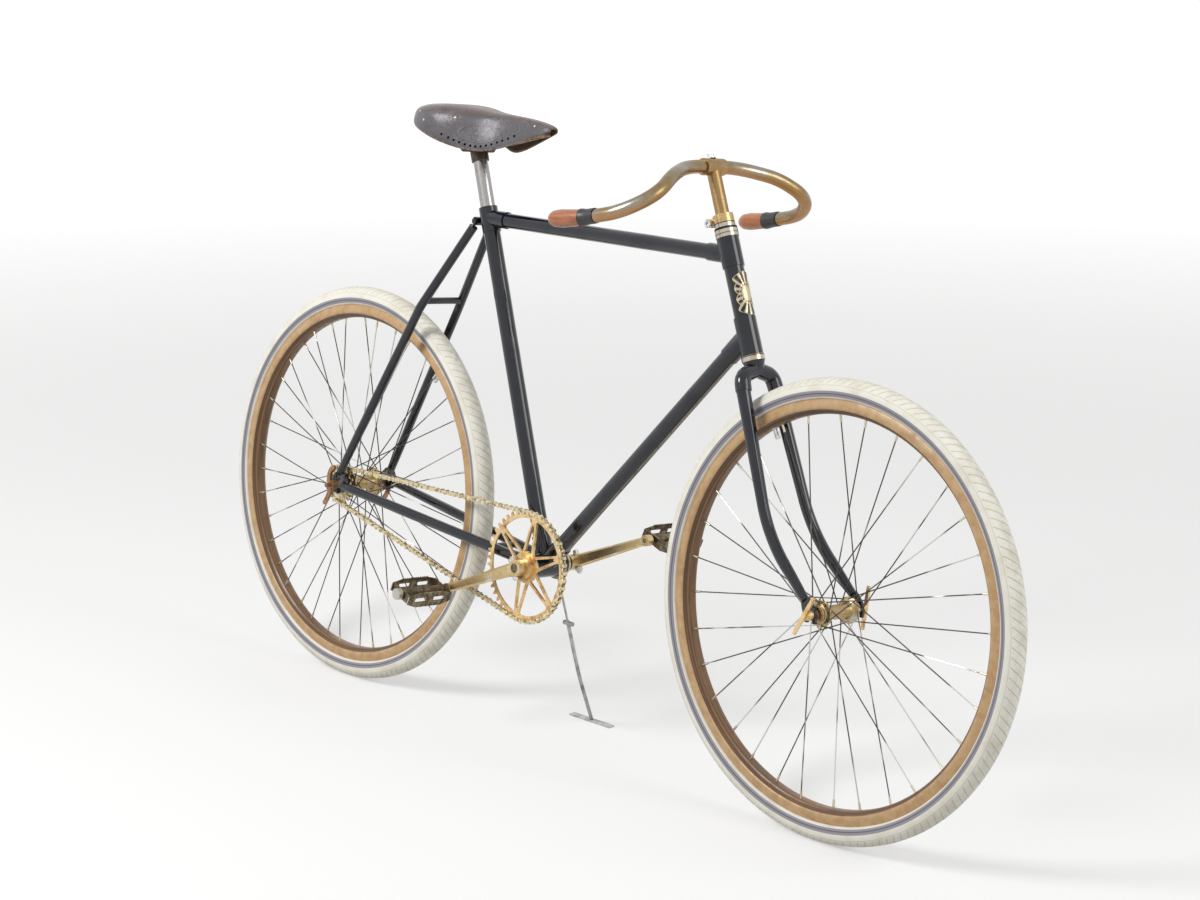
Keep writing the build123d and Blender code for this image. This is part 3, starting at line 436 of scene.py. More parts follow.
hub_end = ring_point(hub_turn, given["Flange radius"], flange * (given["Flange place"] + lead * 1.6))
rim_end = ring_point(rim_turn, given["Rim radius"], flange * (3.15 + lead * 1.35))
way = lacing.vector("SUBTRACT", rim_end, hub_end, output="Vector")
facing = lacing.add("FunctionNodeAlignRotationToVector", {"Vector": way}, axis="Z")
points = lacing.add("GeometryNodeMeshLine", {"Count": given["Spokes"]})
starts = lacing.add("GeometryNodeSetPosition", {0: points, "Position": hub_end})
ends = lacing.add("GeometryNodeSetPosition", {0: points, "Position": rim_end})


def bar_shape(length, radius, sides, foot=0.0):
    """An upright round bar whose lower end is foot above the origin."""
    bar = lacing.add("GeometryNodeMeshCylinder", {"Vertices": sides, "Radius": radius, "Depth": length})
    lift = lacing.point(z=length / 2 + foot)
    return lacing.add("GeometryNodeTransform", {0: bar, "Translation": lift})


def scattered(growth, points, shape, **places):
    """A shape set on every point; places may turn, stretch or select them."""
    return growth.add("GeometryNodeInstanceOnPoints", {"Points": points, "Instance": shape, **places})


def joined(growth, shapes):
    join = growth.add("GeometryNodeJoinGeometry")
    for shape in shapes:
        growth.tree.links.new(shape.socket, join.socket.node.inputs[0])
    return join


def coated(growth, shape, finish_input):
    """Scattered shapes made real, with the material of one input."""
    real = growth.add("GeometryNodeRealizeInstances", {0: shape})
    return growth.add("GeometryNodeSetMaterial", {0: real, "Material": growth.given[finish_input]})


nipple_length = 13.0
wires = scattered(lacing, starts, bar_shape(1.0, given["Spoke radius"], 8), Rotation=facing,
                  Scale=lacing.point(1.0, 1.0, lacing.vector("LENGTH", way)))
heads = scattered(lacing, starts, lacing.add("GeometryNodeMeshUVSphere", {
    "Segments": 10, "Rings": 6, "Radius": given["Spoke radius"] * 1.7}))
nipples = scattered(lacing, ends, bar_shape(nipple_length, given["Spoke radius"] * 1.9, 10, -nipple_length),
                    Rotation=facing)
steel = joined(lacing, [coated(lacing, wires, "Steel"), coated(lacing, heads, "Steel")])
lacing.end(joined(lacing, [steel, coated(lacing, nipples, "Brass")]))


def make_plain(piece):
    """Replaces a piece's mesh by the plain mesh that its modifiers make of it."""
    ready = piece.evaluated_get(bpy.context.evaluated_depsgraph_get())
    piece.data = bpy.data.meshes.new_from_object(ready)
    piece.modifiers.clear()


def grown(growth, name, sizes, seed=None):
    """An object whose mesh is what a Geometry Nodes tree makes of these sizes."""
    piece = placed(name, seed or bpy.data.meshes.new(name))
    maker = piece.modifiers.new("maker", "NODES")
    maker.node_group = growth.tree
    for size, value in sizes.items():
        maker[growth.keys[size]] = value
    make_plain(piece)
    return piece


def mottled(name, size, light, dark, rough, fine, more=0.2, detail=3.0, span=None, **fixed):
    """A finish that wanders between two shades over size metres, and in its roughness over fine metres."""
    finish = Finish(name, **fixed)
    patches = finish.noise(size, detail)
    finish.colour(light, (patches.ramp(*span) if span else patches, dark))
    finish.set(Roughness=rough + finish.noise(fine) * more)
    return finish


spoke_steel = Finish("spoke_steel", Metallic=1.0)
tarnish = spoke_steel.noise(0.11, detail=2).ramp(0.4, 0.48)
spoke_steel.colour((0.6, 0.58, 0.54), (tarnish, (0.09, 0.078, 0.07)))
spoke_steel.set(Roughness=0.3 + tarnish * 0.3)
nipple_brass = mottled("nipple_brass", 0.01, (0.7, 0.66, 0.55), (0.5, 0.42, 0.28), 0.3, 0.004,
                       Metallic=1.0)

for wheel, hub, spokes, flange_radius, flange_place, crossing in (
        ("front", front_hub, 32, 18.0, 32.0, 3.0), ("rear", rear_hub, 40, 23.0, 30.0, 4.0)):
    laced = grown(lacing, wheel + "_laced_spokes", {
        "Spokes": spokes, "Flange radius": flange_radius, "Flange place": flange_place,
        "Rim radius": rim_floor_radius + 1.0, "Crossing": crossing, "Spoke radius": 1.0,
        "Steel": spoke_steel.material, "Brass": nipple_brass.material})
    settle(laced, wheel + "_wheel", place=upright @ Matrix.Translation(hub))


# Hubs, stem, bars, bearing races, cranks and seat pin were nickel plated. Most of the plate has
# worn to a brown and brassy film, with grey nickel left where hands and cloths reach least.
def worn_nickel(name, nickel_share, warm, nickel, size=0.03, under=None):
    plate = Finish(name, Metallic=1.0)
    patches = plate.noise(size, detail=5).ramp(nickel_share - 0.14, nickel_share + 0.14)
    pits = plate.noise(0.0016, rough=0.7).ramp(0.62, 0.72)
    fine = plate.noise(0.006, detail=4)
    plate.colour(warm, (fine, tuple(0.62 * part for part in warm)), (patches, nickel))
    # Painted reflection: where under is given, faces turned downward are tinted orange-brown, partly a
    # browner film and partly the ground's reflection painted in.
    if under:
        plate.tint((1 - plate.facing(upward).ramp(-0.6, 0.3)) * 0.85, under)
    plate.tint(pits * 0.6, (0.1, 0.07, 0.05))
    plate.set(Roughness=0.34 - patches * 0.12 + pits * 0.25)
    plate.emboss(fine * 0.3 - pits, 0.00008)
    return plate


steering_way = Vector(joints["steering_turn"]["axis"])
steering_foot = Vector(joints["steering_turn"]["pos_m"])


def height_band(height, low, high, soft=0.0004):
    """1 between two heights in metres."""
    return height.band(low - soft, low + soft, high - soft, high + soft)


# The bars and stem get the orange-brown underside, partly as painted reflection.
bar_nickel = worn_nickel("bar_nickel", 0.52, (0.33, 0.225, 0.1), (0.3, 0.285, 0.255), 0.05,
                         under=(0.42, 0.215, 0.08))
stem_nickel = worn_nickel("stem_nickel", 0.58, (0.38, 0.25, 0.115), (0.37, 0.33, 0.265), 0.045,
                          under=(0.46, 0.25, 0.1))
stem_bolt_height = 0.3212
stem_nickel.tint(stem_nickel.along(steering_way, steering_foot) > stem_bolt_height, (0.66, 0.67, 0.68))
paint(bar_nickel, "handlebar")
paint(stem_nickel, "stem")
paint(worn_nickel("pin_nickel", 0.34, (0.26, 0.2, 0.12), (0.36, 0.355, 0.345)), "seat_pin")
paint(worn_nickel("crank_nickel", 0.62, (0.72, 0.54, 0.28), (0.74, 0.66, 0.48)), "cranks")
race_nickel = worn_nickel("race_nickel", 0.4, (0.42, 0.3, 0.14), (0.5, 0.47, 0.4), 0.016)
race_height = race_nickel.along(steering_way, steering_foot)
race_nickel.tint((race_height > 0.2146) * 0.9, (0.52, 0.36, 0.16))
race_gaps = (height_band(race_height, 0.1968, 0.1978) + height_band(race_height, 0.2036, 0.2074)
             + height_band(race_height, 0.2136, 0.215) + height_band(race_height, -0.0022, -0.0008))
race_nickel.tint(race_gaps, (0.03, 0.024, 0.02))
paint(race_nickel, "bearing_cups", "head_collars")

# Small bright fasteners that were renewed: the bolt of the head clip, the cotter nuts of the cranks and
# the tyre valves. They are zinc plated or bright steel, with a little grime in their corners.
bright_steel = mottled("bright_steel", 0.004, (0.7, 0.71, 0.72), (0.42, 0.36, 0.26), 0.22, 0.003,
                       detail=4, span=(0.45, 0.7), Metallic=1.0)
head_angle = 67
steering_frame = upright @ Matrix.Translation(head_foot)
steering_frame = steering_frame @ Matrix.Rotation(-radians(90 - head_angle), 4, "Y")
clip_bolt_place = Vector((-22, 0, 221.4))
bolt_outline = [(0.3, 13.2), (2.4, 13.2), (3.0, 16.2), (5.6, 16.2), (6.9, 14.8), (6.9, 10.1), (0.3, 10.1)]
sides_named = ((-1, "right"), (1, "left"))
for side, name in sides_named:
    outline = [(radius, side * y) for radius, y in bolt_outline]
    make_piece(f"clip_bolt_{name}", turned(outline, clip_bolt_place, 24), bright_steel,
               "steering", place=steering_frame, crease=35)


def round_bar(start, end, rings, sides):
    """A closed bar from start to end; rings are (millimetres along it, radius)."""
    way = (end - start).normalized()
    turn = way.to_track_quat("Z", "Y").to_matrix()
    vertices = []
    for reach, radius in rings:
        for step in range(sides):
            a = tau * step / sides
            vertices.append(start + way * reach + turn @ Vector((radius * cos(a), radius * sin(a), 0)))
    last = (len(rings) - 1) * sides
    ends = [tuple(range(sides))[::-1], tuple(range(last, last + sides))]
    return vertices, quads(len(rings), sides, round_columns=True) + ends


def gathered(shapes):
    """Several closed shapes as the vertices and faces of one mesh."""
    vertices, faces = [], []
    for more_vertices, more_faces in shapes:
        faces += [tuple(len(vertices) + index for index in face) for face in more_faces]
        vertices += more_vertices
    return vertices, faces


crank_angle = radians(22.5)
cotter_out, cotter_aside = 9, 65
cotter_shapes = ((12.4, 21, [(0, 7.0), (4.6, 7.0), (5.2, 6.2)], 6),
                 (17.6, 22, [(0, 3.6), (3.6, 3.6), (4.4, 2.6)], 16),
                 (-12.4, -19.6, [(0, 5.0), (5.6, 5.0), (7.2, 3.4)], 16))
for side, name in sides_named:
    turn = crank_angle + (0 if side > 0 else pi)
    arm = Vector((cos(turn), 0, sin(turn)))
    cross = Vector((0, 1, 0)).cross(arm)
    middle = bracket + arm * cotter_out + Vector((0, side * cotter_aside, 0))
    shapes = [round_bar(middle + cross * start, middle + cross * end, rings, sides)
              for start, end, rings, sides in cotter_shapes]
    make_piece(f"cotter_nut_{name}", gathered(shapes), bright_steel, "crank", crease=30)

valve_outline = [(0, 5.0), (2, 5.0), (2.2, 3.6), (9, 3.6), (9.2, 4.3), (18, 4.3), (19.5, 3.4)]
for wheel, hub, turn in (("rear", rear_hub, radians(48.75)), ("front", front_hub, radians(121.0))):
    way = Vector((cos(turn), 0, sin(turn)))
    valve = round_bar(hub + way * 303.5, hub + way * 284, valve_outline, 20)
    make_piece(wheel + "_valve", valve, bright_steel, wheel + "_wheel", crease=30)

# Hub shells, each turned from one bar: a narrow barrel between the two flanges that carry the spokes,
# and at the ends the cups for the balls. The metal has gone to brass, and a dark ring lies round each end.
hub_metal = worn_nickel("hub_metal", 0.62, (0.56, 0.4, 0.18), (0.5, 0.46, 0.4), 0.02)
hub_rings = worn_nickel("hub_rings", 0.5, (0.2, 0.13, 0.08), (0.4, 0.42, 0.46), 0.018)
hub_bore, cup_mouth, left_end = 4.9, 12.4, 45.0
for wheel, hub, flange_radius, flange_y, barrel, right_end in (
        ("front", front_hub, 21.0, 32.0, 11.0, 45.0), ("rear", rear_hub, 26.0, 30.0, 12.5, 50.5)):
    cup = [(flange_radius - in_by, flange_y + y) for in_by, y in ((0, 1.2), (0.8, 1.8), (5.0, 1.8))]
    cup += [(radius, flange_y + y) for radius, y in (
        (15.6, 3.4), (15.0, 5.0), (13.4, 5.6), (13.4, 7.6), (cup_mouth, 8.4))]
    inner = [(flange_radius, flange_y - 1.2), (flange_radius - 0.8, flange_y - 1.8)]
    inner += [(barrel + out_by, flange_y - y) for out_by, y in ((4.5, 2.2), (1.6, 4.2), (0, 8.0))]
    inner += [(barrel - 0.4, 5.0), (barrel + 0.4, 4.0), (barrel + 0.4, 0.0)]
    left = [(hub_bore, left_end), (cup_mouth, left_end)] + cup[::-1] + inner
    right = [(radius, -y) for radius, y in inner[-2::-1] + cup]
    right += [(cup_mouth, -right_end), (hub_bore, -right_end)]
    make_piece(wheel + "_hub_shell", turned(left + right, hub, 72), hub_metal, wheel + "_wheel",
               [wheel + "_hub"], crease=35)
    band = [(radius, flange_y + y) for radius, y in ((15.7, 3.3), (16.4, 3.6), (16.4, 5.4), (15.2, 5.8))]
    for side, name in sides_named:
        outline = [(radius, side * y) for radius, y in band[::side]]
        make_piece(f"{wheel}_hub_ring_{name}", turned(outline, hub), hub_rings, wheel + "_wheel",
                   crease=35)

# The chainring is a flat steel ring on six pairs of slim arms; its plate has turned a rusty gold,
# redder and rougher towards the boss.
ring_gold = Finish("ring_gold", Metallic=1.0)
rust = ring_gold.noise(0.018, detail=6, rough=0.65).ramp(0.44, 0.68)
speck = ring_gold.noise(0.002).ramp(0.55, 0.7)
ring_gold.colour((0.76, 0.55, 0.28), (rust, (0.46, 0.25, 0.11)), (speck * 0.5, (0.16, 0.09, 0.05)))
ring_gold.set(Roughness=0.34 + rust * 0.28)
ring_gold.emboss(0 - rust * 0.5 - speck * 0.5, 0.0001)
paint(ring_gold, "chainring", "front_wing_nuts")


# Small steel pieces that were only blacked or plain and have rusted brown: axles, rear wing nuts and the
# saddle's wire. The pedals are darker, with the edges of their teeth rubbed bright and nickel end caps.
def brown_rust(name, dark, light):
    rusty = Finish(name, Metallic=0.8)
    scale = rusty.noise(0.008, detail=6, rough=0.65).ramp(0.35, 0.7)
    rusty.colour(dark, (scale, light))
    rusty.set(Roughness=0.52 - scale * 0.15)
    rusty.emboss(scale * 0.5 + rusty.noise(0.0012) * 0.5, 0.00015)
    return rusty


paint(brown_rust("nut_rust", (0.24, 0.125, 0.06), (0.44, 0.265, 0.145)),
      "rear_wing_nuts", "front_axle", "rear_axle")
pedal_rust = brown_rust("pedal_rust", (0.07, 0.052, 0.032), (0.3, 0.235, 0.15))
aside = pedal_rust.along(leftward, upright @ bracket)
pedal_rust.tint(abs(aside).ramp(0.1794, 0.18) * 0.85, (0.56, 0.54, 0.48))
paint(pedal_rust, "left_pedal", "right_pedal", "spindles")
saddle_clamp = upright @ Vector((258.2, 0, 985))
rail_rust = brown_rust("rail_rust", (0.24, 0.13, 0.06), (0.52, 0.4, 0.26))
# Painted shade: the clamp under the saddle is coloured near black.
rail_rust.tint((1 - rail_rust.away(saddle_clamp).ramp(0.036, 0.046)) * 0.85, (0.06, 0.052, 0.048))
paint(rail_rust, "saddle_frame")

# Half-inch roller chain and cog, pale brassy steel. Waisted side plates on riveted pins hold a
# roller at every joint; the loop is 112 links long.
chain_pitch = 12.7
ring_teeth, cog_teeth, chain_links = 46, 16, 112
chain_line = -46.0
ring_circle = ring_teeth * chain_pitch / tau
cog_circle = cog_teeth * chain_pitch / tau
centres = hypot(bracket.x - rear_hub.x, bracket.z - rear_hub.z)
line_angle = atan2(bracket.z - rear_hub.z, bracket.x - rear_hub.x)
wrap = acos((ring_circle - cog_circle) / centres)
top_turn, low_turn = line_angle + pi - wrap, line_angle - pi + wrap
run = sqrt(centres**2 - (ring_circle - cog_circle) ** 2)
ring_run = 2 * (pi - wrap) * ring_circle
loop = 2 * run + ring_run + 2 * wrap * cog_circle


def on_circle(hub, radius, turn):
    return hub + Vector((radius * cos(turn), 0, radius * sin(turn)))


rear_top, front_top = on_circle(rear_hub, cog_circle, top_turn), on_circle(bracket, ring_circle, top_turn)
rear_low, front_low = on_circle(rear_hub, cog_circle, low_turn), on_circle(bracket, ring_circle, low_turn)


def chain_pin(distance):
    """Place of a chain pin, going forward along the top run, round the ring and back."""
    if distance < run:
        return rear_top.lerp(front_top, distance / run)
    distance -= run
    if distance < ring_run:
        return on_circle(bracket, ring_circle, top_turn - distance / ring_circle)
    distance -= ring_run
    if distance < run:
        return front_low.lerp(rear_low, distance / run)
    return on_circle(rear_hub, cog_circle, low_turn - (distance - run) / cog_circle)


linking = Growth("roller_chain", {
    "Geometry": "Geometry", "Pitch": "Float", "Plate height": "Float", "Plate thickness": "Float",
    "Inner half width": "Float", "Roller radius": "Float", "Metal": "Material"})
asked = linking.given
pitch, thickness, inner_half = asked["Pitch"], asked["Plate thickness"], asked["Inner half width"]
pin_index = linking.add("GeometryNodeInputIndex")
pin_place = linking.add("GeometryNodeInputPosition")
after = pin_index + 1
after = after - (after > chain_links - 0.5) * chain_links
next_pin = linking.add("GeometryNodeFieldAtIndex", {"Index": after, 0: pin_place}, data_type="FLOAT_VECTOR")
link_way = linking.vector("SUBTRACT", next_pin, pin_place, output="Vector")
link_turn = linking.add("FunctionNodeAlignRotationToVector", {"Vector": link_way}, axis="X", pivot_axis="Y")
odd = (pin_index / 2).math("FRACT") > 0.25


def across_disc(radius, width, sides, x=0.0, y=0.0):
    """A disc whose axis lies across the chain."""
    disc = linking.add("GeometryNodeMeshCylinder", {"Vertices": sides, "Radius": radius, "Depth": width})
    return linking.add("GeometryNodeTransform", {
        0: disc, "Translation": linking.point(x, y), "Rotation": (pi / 2, 0, 0)})


def link_plates(half_width):
    """The two waisted plates of one link."""
    shapes = []
    for side in (-1, 1):
        y = (half_width + thickness / 2) * side
        shapes += [across_disc(asked["Plate height"] / 2, thickness, 14, x, y) for x in (0.0, pitch)]
        bar = linking.add("GeometryNodeMeshCube", {
            "Size": linking.point(pitch, thickness * 0.9, asked["Plate height"] * 0.62)})
        shapes.append(linking.add("GeometryNodeTransform", {
            0: bar, "Translation": linking.point(pitch / 2, y)}))
    return joined(linking, shapes)


outer_half = inner_half + thickness * 1.1
pin_half = outer_half + thickness * 1.5
pieces = [scattered(linking, asked, link_plates(half_width), Selection=choice, Rotation=link_turn)
          for choice, half_width in ((odd, inner_half), (1 - odd, outer_half))]
pieces.append(scattered(linking, asked, across_disc(asked["Roller radius"], inner_half * 1.9, 12)))
pieces.append(scattered(linking, asked, across_disc(asked["Roller radius"] * 0.45, pin_half * 2, 10)))
linking.end(coated(linking, joined(linking, pieces), "Metal"))

chain_steel = Finish("chain_steel", Metallic=1.0)
grime = chain_steel.noise(0.006, detail=4).ramp(0.45, 0.7)
chain_steel.colour((0.72, 0.63, 0.42), (grime, (0.2, 0.15, 0.09)))
chain_steel.set(Roughness=0.32 + grime * 0.3)
paint(chain_steel, "rear_cog")

pin_places = [chain_pin(loop * link / chain_links) - rear_hub for link in range(chain_links)]
chain = grown(linking, "roller_chain", {
    "Pitch": chain_pitch, "Plate height": 8.2, "Plate thickness": 1.0, "Inner half width": 2.2,
    "Roller radius": 4.0, "Metal": chain_steel.material}, plain_mesh("chain_pins", pin_places))
chain_place = Matrix.Translation(rear_hub + Vector((0, chain_line, 0)))
settle(chain, "frame", ["chain"], place=upright @ chain_place)

# Prop stand, clipped to the left of the frame: a thin rod that slides in a tube, both of plain steel,
# and a foot bar across its lower end, painted pale grey.
paint(mottled("stand_steel", 0.02, (0.4, 0.41, 0.42), (0.2, 0.19, 0.17), 0.4, 0.006, span=(0.4, 0.7),
              Metallic=0.9), "prop_stand_rod", "prop_stand_tube")
paint(mottled("foot_paint", 0.012, (0.62, 0.62, 0.6), (0.4, 0.38, 0.35), 0.5, 0.004, span=(0.4, 0.7)),
      "prop_stand_foot")

# Turned wooden grips with rounded ends, varnished orange, the grain running along them. Each is held by
# a few turns of black tape over its front edge and the bar.
grip_wood = Finish("grip_wood", Coat_Roughness=0.12)
drawn_out = grip_wood.add("ShaderNodeMapping", {"Vector": grip_wood.spot, "Scale": (0.1, 1.0, 1.0)})
grain = grip_wood.noise(0.005, detail=4, where=drawn_out, rough=0.6)
mellow = grip_wood.noise(0.03)
grip_wood.colour((0.42, 0.132, 0.036), (grain.ramp(0.35, 0.7), (0.29, 0.078, 0.02)),
                 (mellow.ramp(0.45, 0.7) * 0.5, (0.5, 0.185, 0.06)))
grip_wood.set(Roughness=0.3 + grain * 0.15, Coat_Weight=0.65 - mellow * 0.3)
grip_wood.emboss(grain, 0.00006)
paint(grip_wood, "grips")

tape_black = mottled("tape_black", 0.008, (0.006, 0.006, 0.008), (0.022, 0.021, 0.024), 0.38, 0.005,
                     detail=4, span=(0.4, 0.75), Specular_IOR_Level=0.5, Coat_Roughness=0.3)
tape_black.set(Coat_Weight=0.15 + tape_black.noise(0.015) * 0.2)
tape_black.emboss(tape_black.noise(0.002), 0.0001)
stem_rise = 307.4
stem_centre = head_foot + Vector((-cos(radians(head_angle)), 0, sin(radians(head_angle)))) * stem_rise
# The bar's centre line, seen from the stem's middle: before the grip, at its front edge and inside it.
bar_points = ((14, 206, -72), (-60, 209, -88), (-119, 216, -96))
tape_sides = 40
for side, name in sides_named:
    bend, front, grip = (Vector((x, side * y, z)) for x, y, z in bar_points)
    inward, outward = (bend - front).normalized(), (grip - front).normalized()
    corner = stem_centre + front
    track = [corner + outward * 9, corner + outward * 3.2, corner, corner + inward * 8, corner + inward * 16,
             corner + inward * 22, corner + inward * 30]
    skin, lining = [], []
    for place, toward, radius in zip(track, track[1:], [13.9, 13.5, 12.8, 12.3, 12.4, 12.1]):
        turn = (toward - place).normalized().to_track_quat("Z", "Y").to_matrix()
        turns = [tau * step / tape_sides for step in range(tape_sides)]
        for layer, inset in ((skin, 0.0), (lining, -1.0)):
            reaches = [radius + inset + 0.35 * sin(a + radius) for a in turns]
            layer.append([place + turn @ Vector((reach * cos(a), reach * sin(a), 0))
                          for a, reach in zip(turns, reaches)])
    rings = skin + lining[::-1]
    tape = [point for ring in rings for point in ring], quads(len(rings), tape_sides, True, True)
    make_piece(f"grip_tape_{name}", tape, tape_black, "steering", crease=45)

# Head badge, stamped from thin brass and pinned round the front of the head tube. Its field is a plain
# oval boss with leaves fanning above and below, and it bears no name or sign.
badge_brass = Finish("badge_brass", Metallic=1.0)
relief = badge_brass.surface_map()["Y"]
dull = badge_brass.noise(0.004, detail=4).ramp(0.4, 0.7)
# Painted shade: the low ground between the raised parts is coloured near black.
badge_brass.colour((0.028, 0.032, 0.045), (relief.ramp(0.42, 0.8), (0.6, 0.5, 0.31)),
                   (dull * 0.4, (0.25, 0.23, 0.19)))
badge_brass.set(Roughness=0.3 + dull * 0.2)
badge_low, badge_high, badge_turn = 62.0, 132.0, 74.0
badge_rows, badge_columns = 57, 41


def badge_edge(share):
    """How far round the tube the badge reaches, from its foot (0) to its crown (1)."""
    scallop = 0.2 * abs(sin(4 * pi * share))
    tip = min(1.0, (min(share, 1 - share) / 0.13) ** 0.6)
    return (0.74 + scallop) * (0.15 + 0.85 * tip)


def badge_relief(share, across):
    """Height of the stamping, 0 to 1: an oval boss and fanned leaves."""
    up = (share - 0.5) * 2
    oval = hypot(up / 0.42, across / 0.55)
    if oval < 1:
        return 0.55 + 0.45 * cos(oval * pi / 2)
    ring = max(0.0, 1 - abs(oval - 1.15) / 0.12)
    fan = atan2(across * 0.8, abs(up) - 0.1)
    leaf = 0.5 + 0.5 * cos(fan * 14)
    return max(ring, 0.15 + 0.75 * leaf)


badge_points, badge_heights = [], []
for row in range(badge_rows):
    share = row / (badge_rows - 1)
    reach = badge_edge(share)
    for skin, columns in ((1, range(badge_columns)), (0, reversed(range(badge_columns)))):
        for column in columns:
            across = 2 * column / (badge_columns - 1) - 1
            raised = badge_relief(share, across * reach) if abs(across) < 0.91 else 1.0
            turn = radians(badge_turn) * across * reach
            radius = 16.0 + skin * (0.6 + 0.9 * raised)
            height = badge_low + (badge_high - badge_low) * share
            badge_points.append(Vector((radius * cos(turn), radius * sin(turn), height)))
            badge_heights.append(raised if skin else 0.0)
around = 2 * badge_columns
badge_faces = quads(badge_rows, around, round_columns=True)
for end in (0, (badge_rows - 1) * around):
    badge_faces += [(end + column, end + column + 1, end + around - column - 2, end + around - column - 1)
                    for column in range(badge_columns - 1)]
badge_uv = [(0.5, badge_heights[index]) for face in badge_faces for index in face]
make_piece("head_badge", (badge_points, badge_faces, badge_uv), badge_brass, "frame",
           place=steering_frame, crease=60)

# Racing saddle of one thick piece of leather, stretched from a plate at the back to the nose and
# dropping in a deep flap on each side. It is grey-brown and grained and polished at the back, its upward
# faces painted lighter and browner as painted light, with two plain embossed rings on each flap; its
# underside is raw hide, painted dark brown as painted shade.
leather = Finish("saddle_leather", Coat_Roughness=0.16)
drawn_x = leather.along(ahead, floor_mark)
drawn_z = leather.along(upward, floor_mark)
polish = leather.noise(0.05, detail=4).ramp(0.35, 0.7)
back = 1 - drawn_x.ramp(0.18, 0.24)
# Painted light: faces turned upward are coloured lighter and browner.
top = leather.facing(upward).ramp(0.35, 0.85)
pores = leather.add("ShaderNodeTexVoronoi", {"Vector": leather.spot, "Scale": 620.0},
                    feature="DISTANCE_TO_EDGE")
creases = leather.noise(0.006, detail=6, rough=0.7)
cracks = leather.noise(0.014, detail=8, rough=0.72)
crack = (1 - abs(cracks - 0.5).ramp(0.004, 0.016)) * polish


def embossed_ring(x, z, half_long, half_high, width):
    """1 along an oval line pressed into the flaps, drawn from the side."""
    away_x, away_z = (drawn_x - x) / half_long, (drawn_z - z) / half_high
    reach = (away_x * away_x + away_z * away_z).math("SQRT")
    return (1 - abs(reach - 1).ramp(width * 0.4, width)) * (1 - leather.facing(upward).ramp(0.8, 0.92))


large_ring = embossed_ring(0.3045, 1.015, 0.035, 0.015, 0.11)
rings = large_ring + embossed_ring(0.37, 1.0285, 0.0125, 0.0085, 0.22)
leather.colour((0.05, 0.043, 0.054), (polish, (0.112, 0.098, 0.116)), (top * 0.8, (0.15, 0.105, 0.082)),
               (creases.ramp(0.52, 0.75) * 0.55, (0.04, 0.034, 0.036)),
               (crack * 0.6, (0.026, 0.02, 0.019)), (rings * 0.35, (0.165, 0.15, 0.16)))
leather.set(Roughness=0.36 + creases * 0.2 - polish * 0.06 - back * 0.1,
            Coat_Weight=0.12 + polish * 0.18 + back * 0.45)
leather.emboss(pores.ramp(0.0, 0.12) * 0.22 + creases * 0.8 - crack * 0.8 + rings * 2.2, 0.0003)

# Painted shade: the underside, raw hide, is coloured dark brown.
raw_hide = mottled("raw_hide", 0.01, (0.07, 0.04, 0.022), (0.12, 0.074, 0.042), 0.8, 0.002,
                   more=0.15, detail=5, span=(0.35, 0.7), Specular_IOR_Level=0.2)
raw_hide.emboss(raw_hide.noise(0.0015, detail=4), 0.0002)
cut_edge = mottled("cut_edge", 0.006, (0.23, 0.18, 0.135), (0.11, 0.08, 0.06), 0.55, 0.003,
                   detail=4, span=(0.4, 0.65), Specular_IOR_Level=0.3)

saddle_stations = (
    # x, half width at the top, top z, half width at the flap's foot, flap foot z
    (153, 50, 1043, 55, 1033),
    (158, 62, 1051, 67, 1026),
    (172, 72, 1057.5, 76, 1016),
    (200, 76, 1060, 79, 1006),
    (231, 70, 1060, 77, 996),
    (266, 54, 1057, 64, 987),
    (300, 36, 1053, 48, 982),
    (334, 25, 1050.5, 37, 987),
    (374, 18.5, 1049, 28, 1000.5),
    (410, 14.5, 1045.5, 20.5, 1014.5),
    (437, 12, 1040.5, 15, 1024.5),
    (448, 9, 1036.5, 10, 1029),
)
rows = []
for x, top_half, top_z, foot_half, foot_z in saddle_stations:
    drop = top_z - foot_z
    half_row = [(0.0, top_z - 0.5), (top_half * 0.45, top_z), (top_half * 0.8, top_z - drop * 0.06),
                (top_half * 0.98, top_z - drop * 0.24),
                (top_half + (foot_half - top_half) * 0.45, top_z - drop * 0.58), (foot_half, foot_z)]
    rows.append([Vector((x, y, z)) for y, z in reversed(half_row)]
                + [Vector((x, -y, z)) for y, z in half_row[1:]])
width = len(rows[0])
saddle_points = [point for row in rows for point in row]
back_low = len(saddle_points)
saddle_points += [point + Vector((3, 0, -10)) for point in rows[0]]
saddle_faces = quads(len(rows), width)
saddle_faces += [(c + 1, c, back_low + c, back_low + c + 1) for c in range(width - 1)]
saddle = placed("saddle_leather", plain_mesh("saddle_leather", saddle_points, saddle_faces))
saddle.data.transform(upright)
saddle.data.shade_smooth()
for finish in (leather, raw_hide, cut_edge):
    saddle.data.materials.append(finish.material)
thick = saddle.modifiers.new("thickness", "SOLIDIFY")
thick.thickness = 0.0042
thick.offset = -1
thick.material_offset = 1
thick.material_offset_rim = 2
smoother = saddle.modifiers.new("smooth", "SUBSURF")
smoother.levels = smoother.render_levels = 3
make_plain(saddle)

# A row of holes is punched through the leather along the foot of each flap. Their closed bottoms and
# walls are coloured near black as painted shade, so that they show as shaded wells.
hide = BVHTree.FromPolygons([vertex.co for vertex in saddle.data.vertices],
                            [polygon.vertices for polygon in saddle.data.polygons])


def on_flap(x, z, side):
    """The flap's surface and its outward direction where it is seen at x, z from one side."""
    start = upright @ Vector((x, side * 140, z))
    return hide.ray_cast(start, turned_way((0, -side, 0)))[:2]


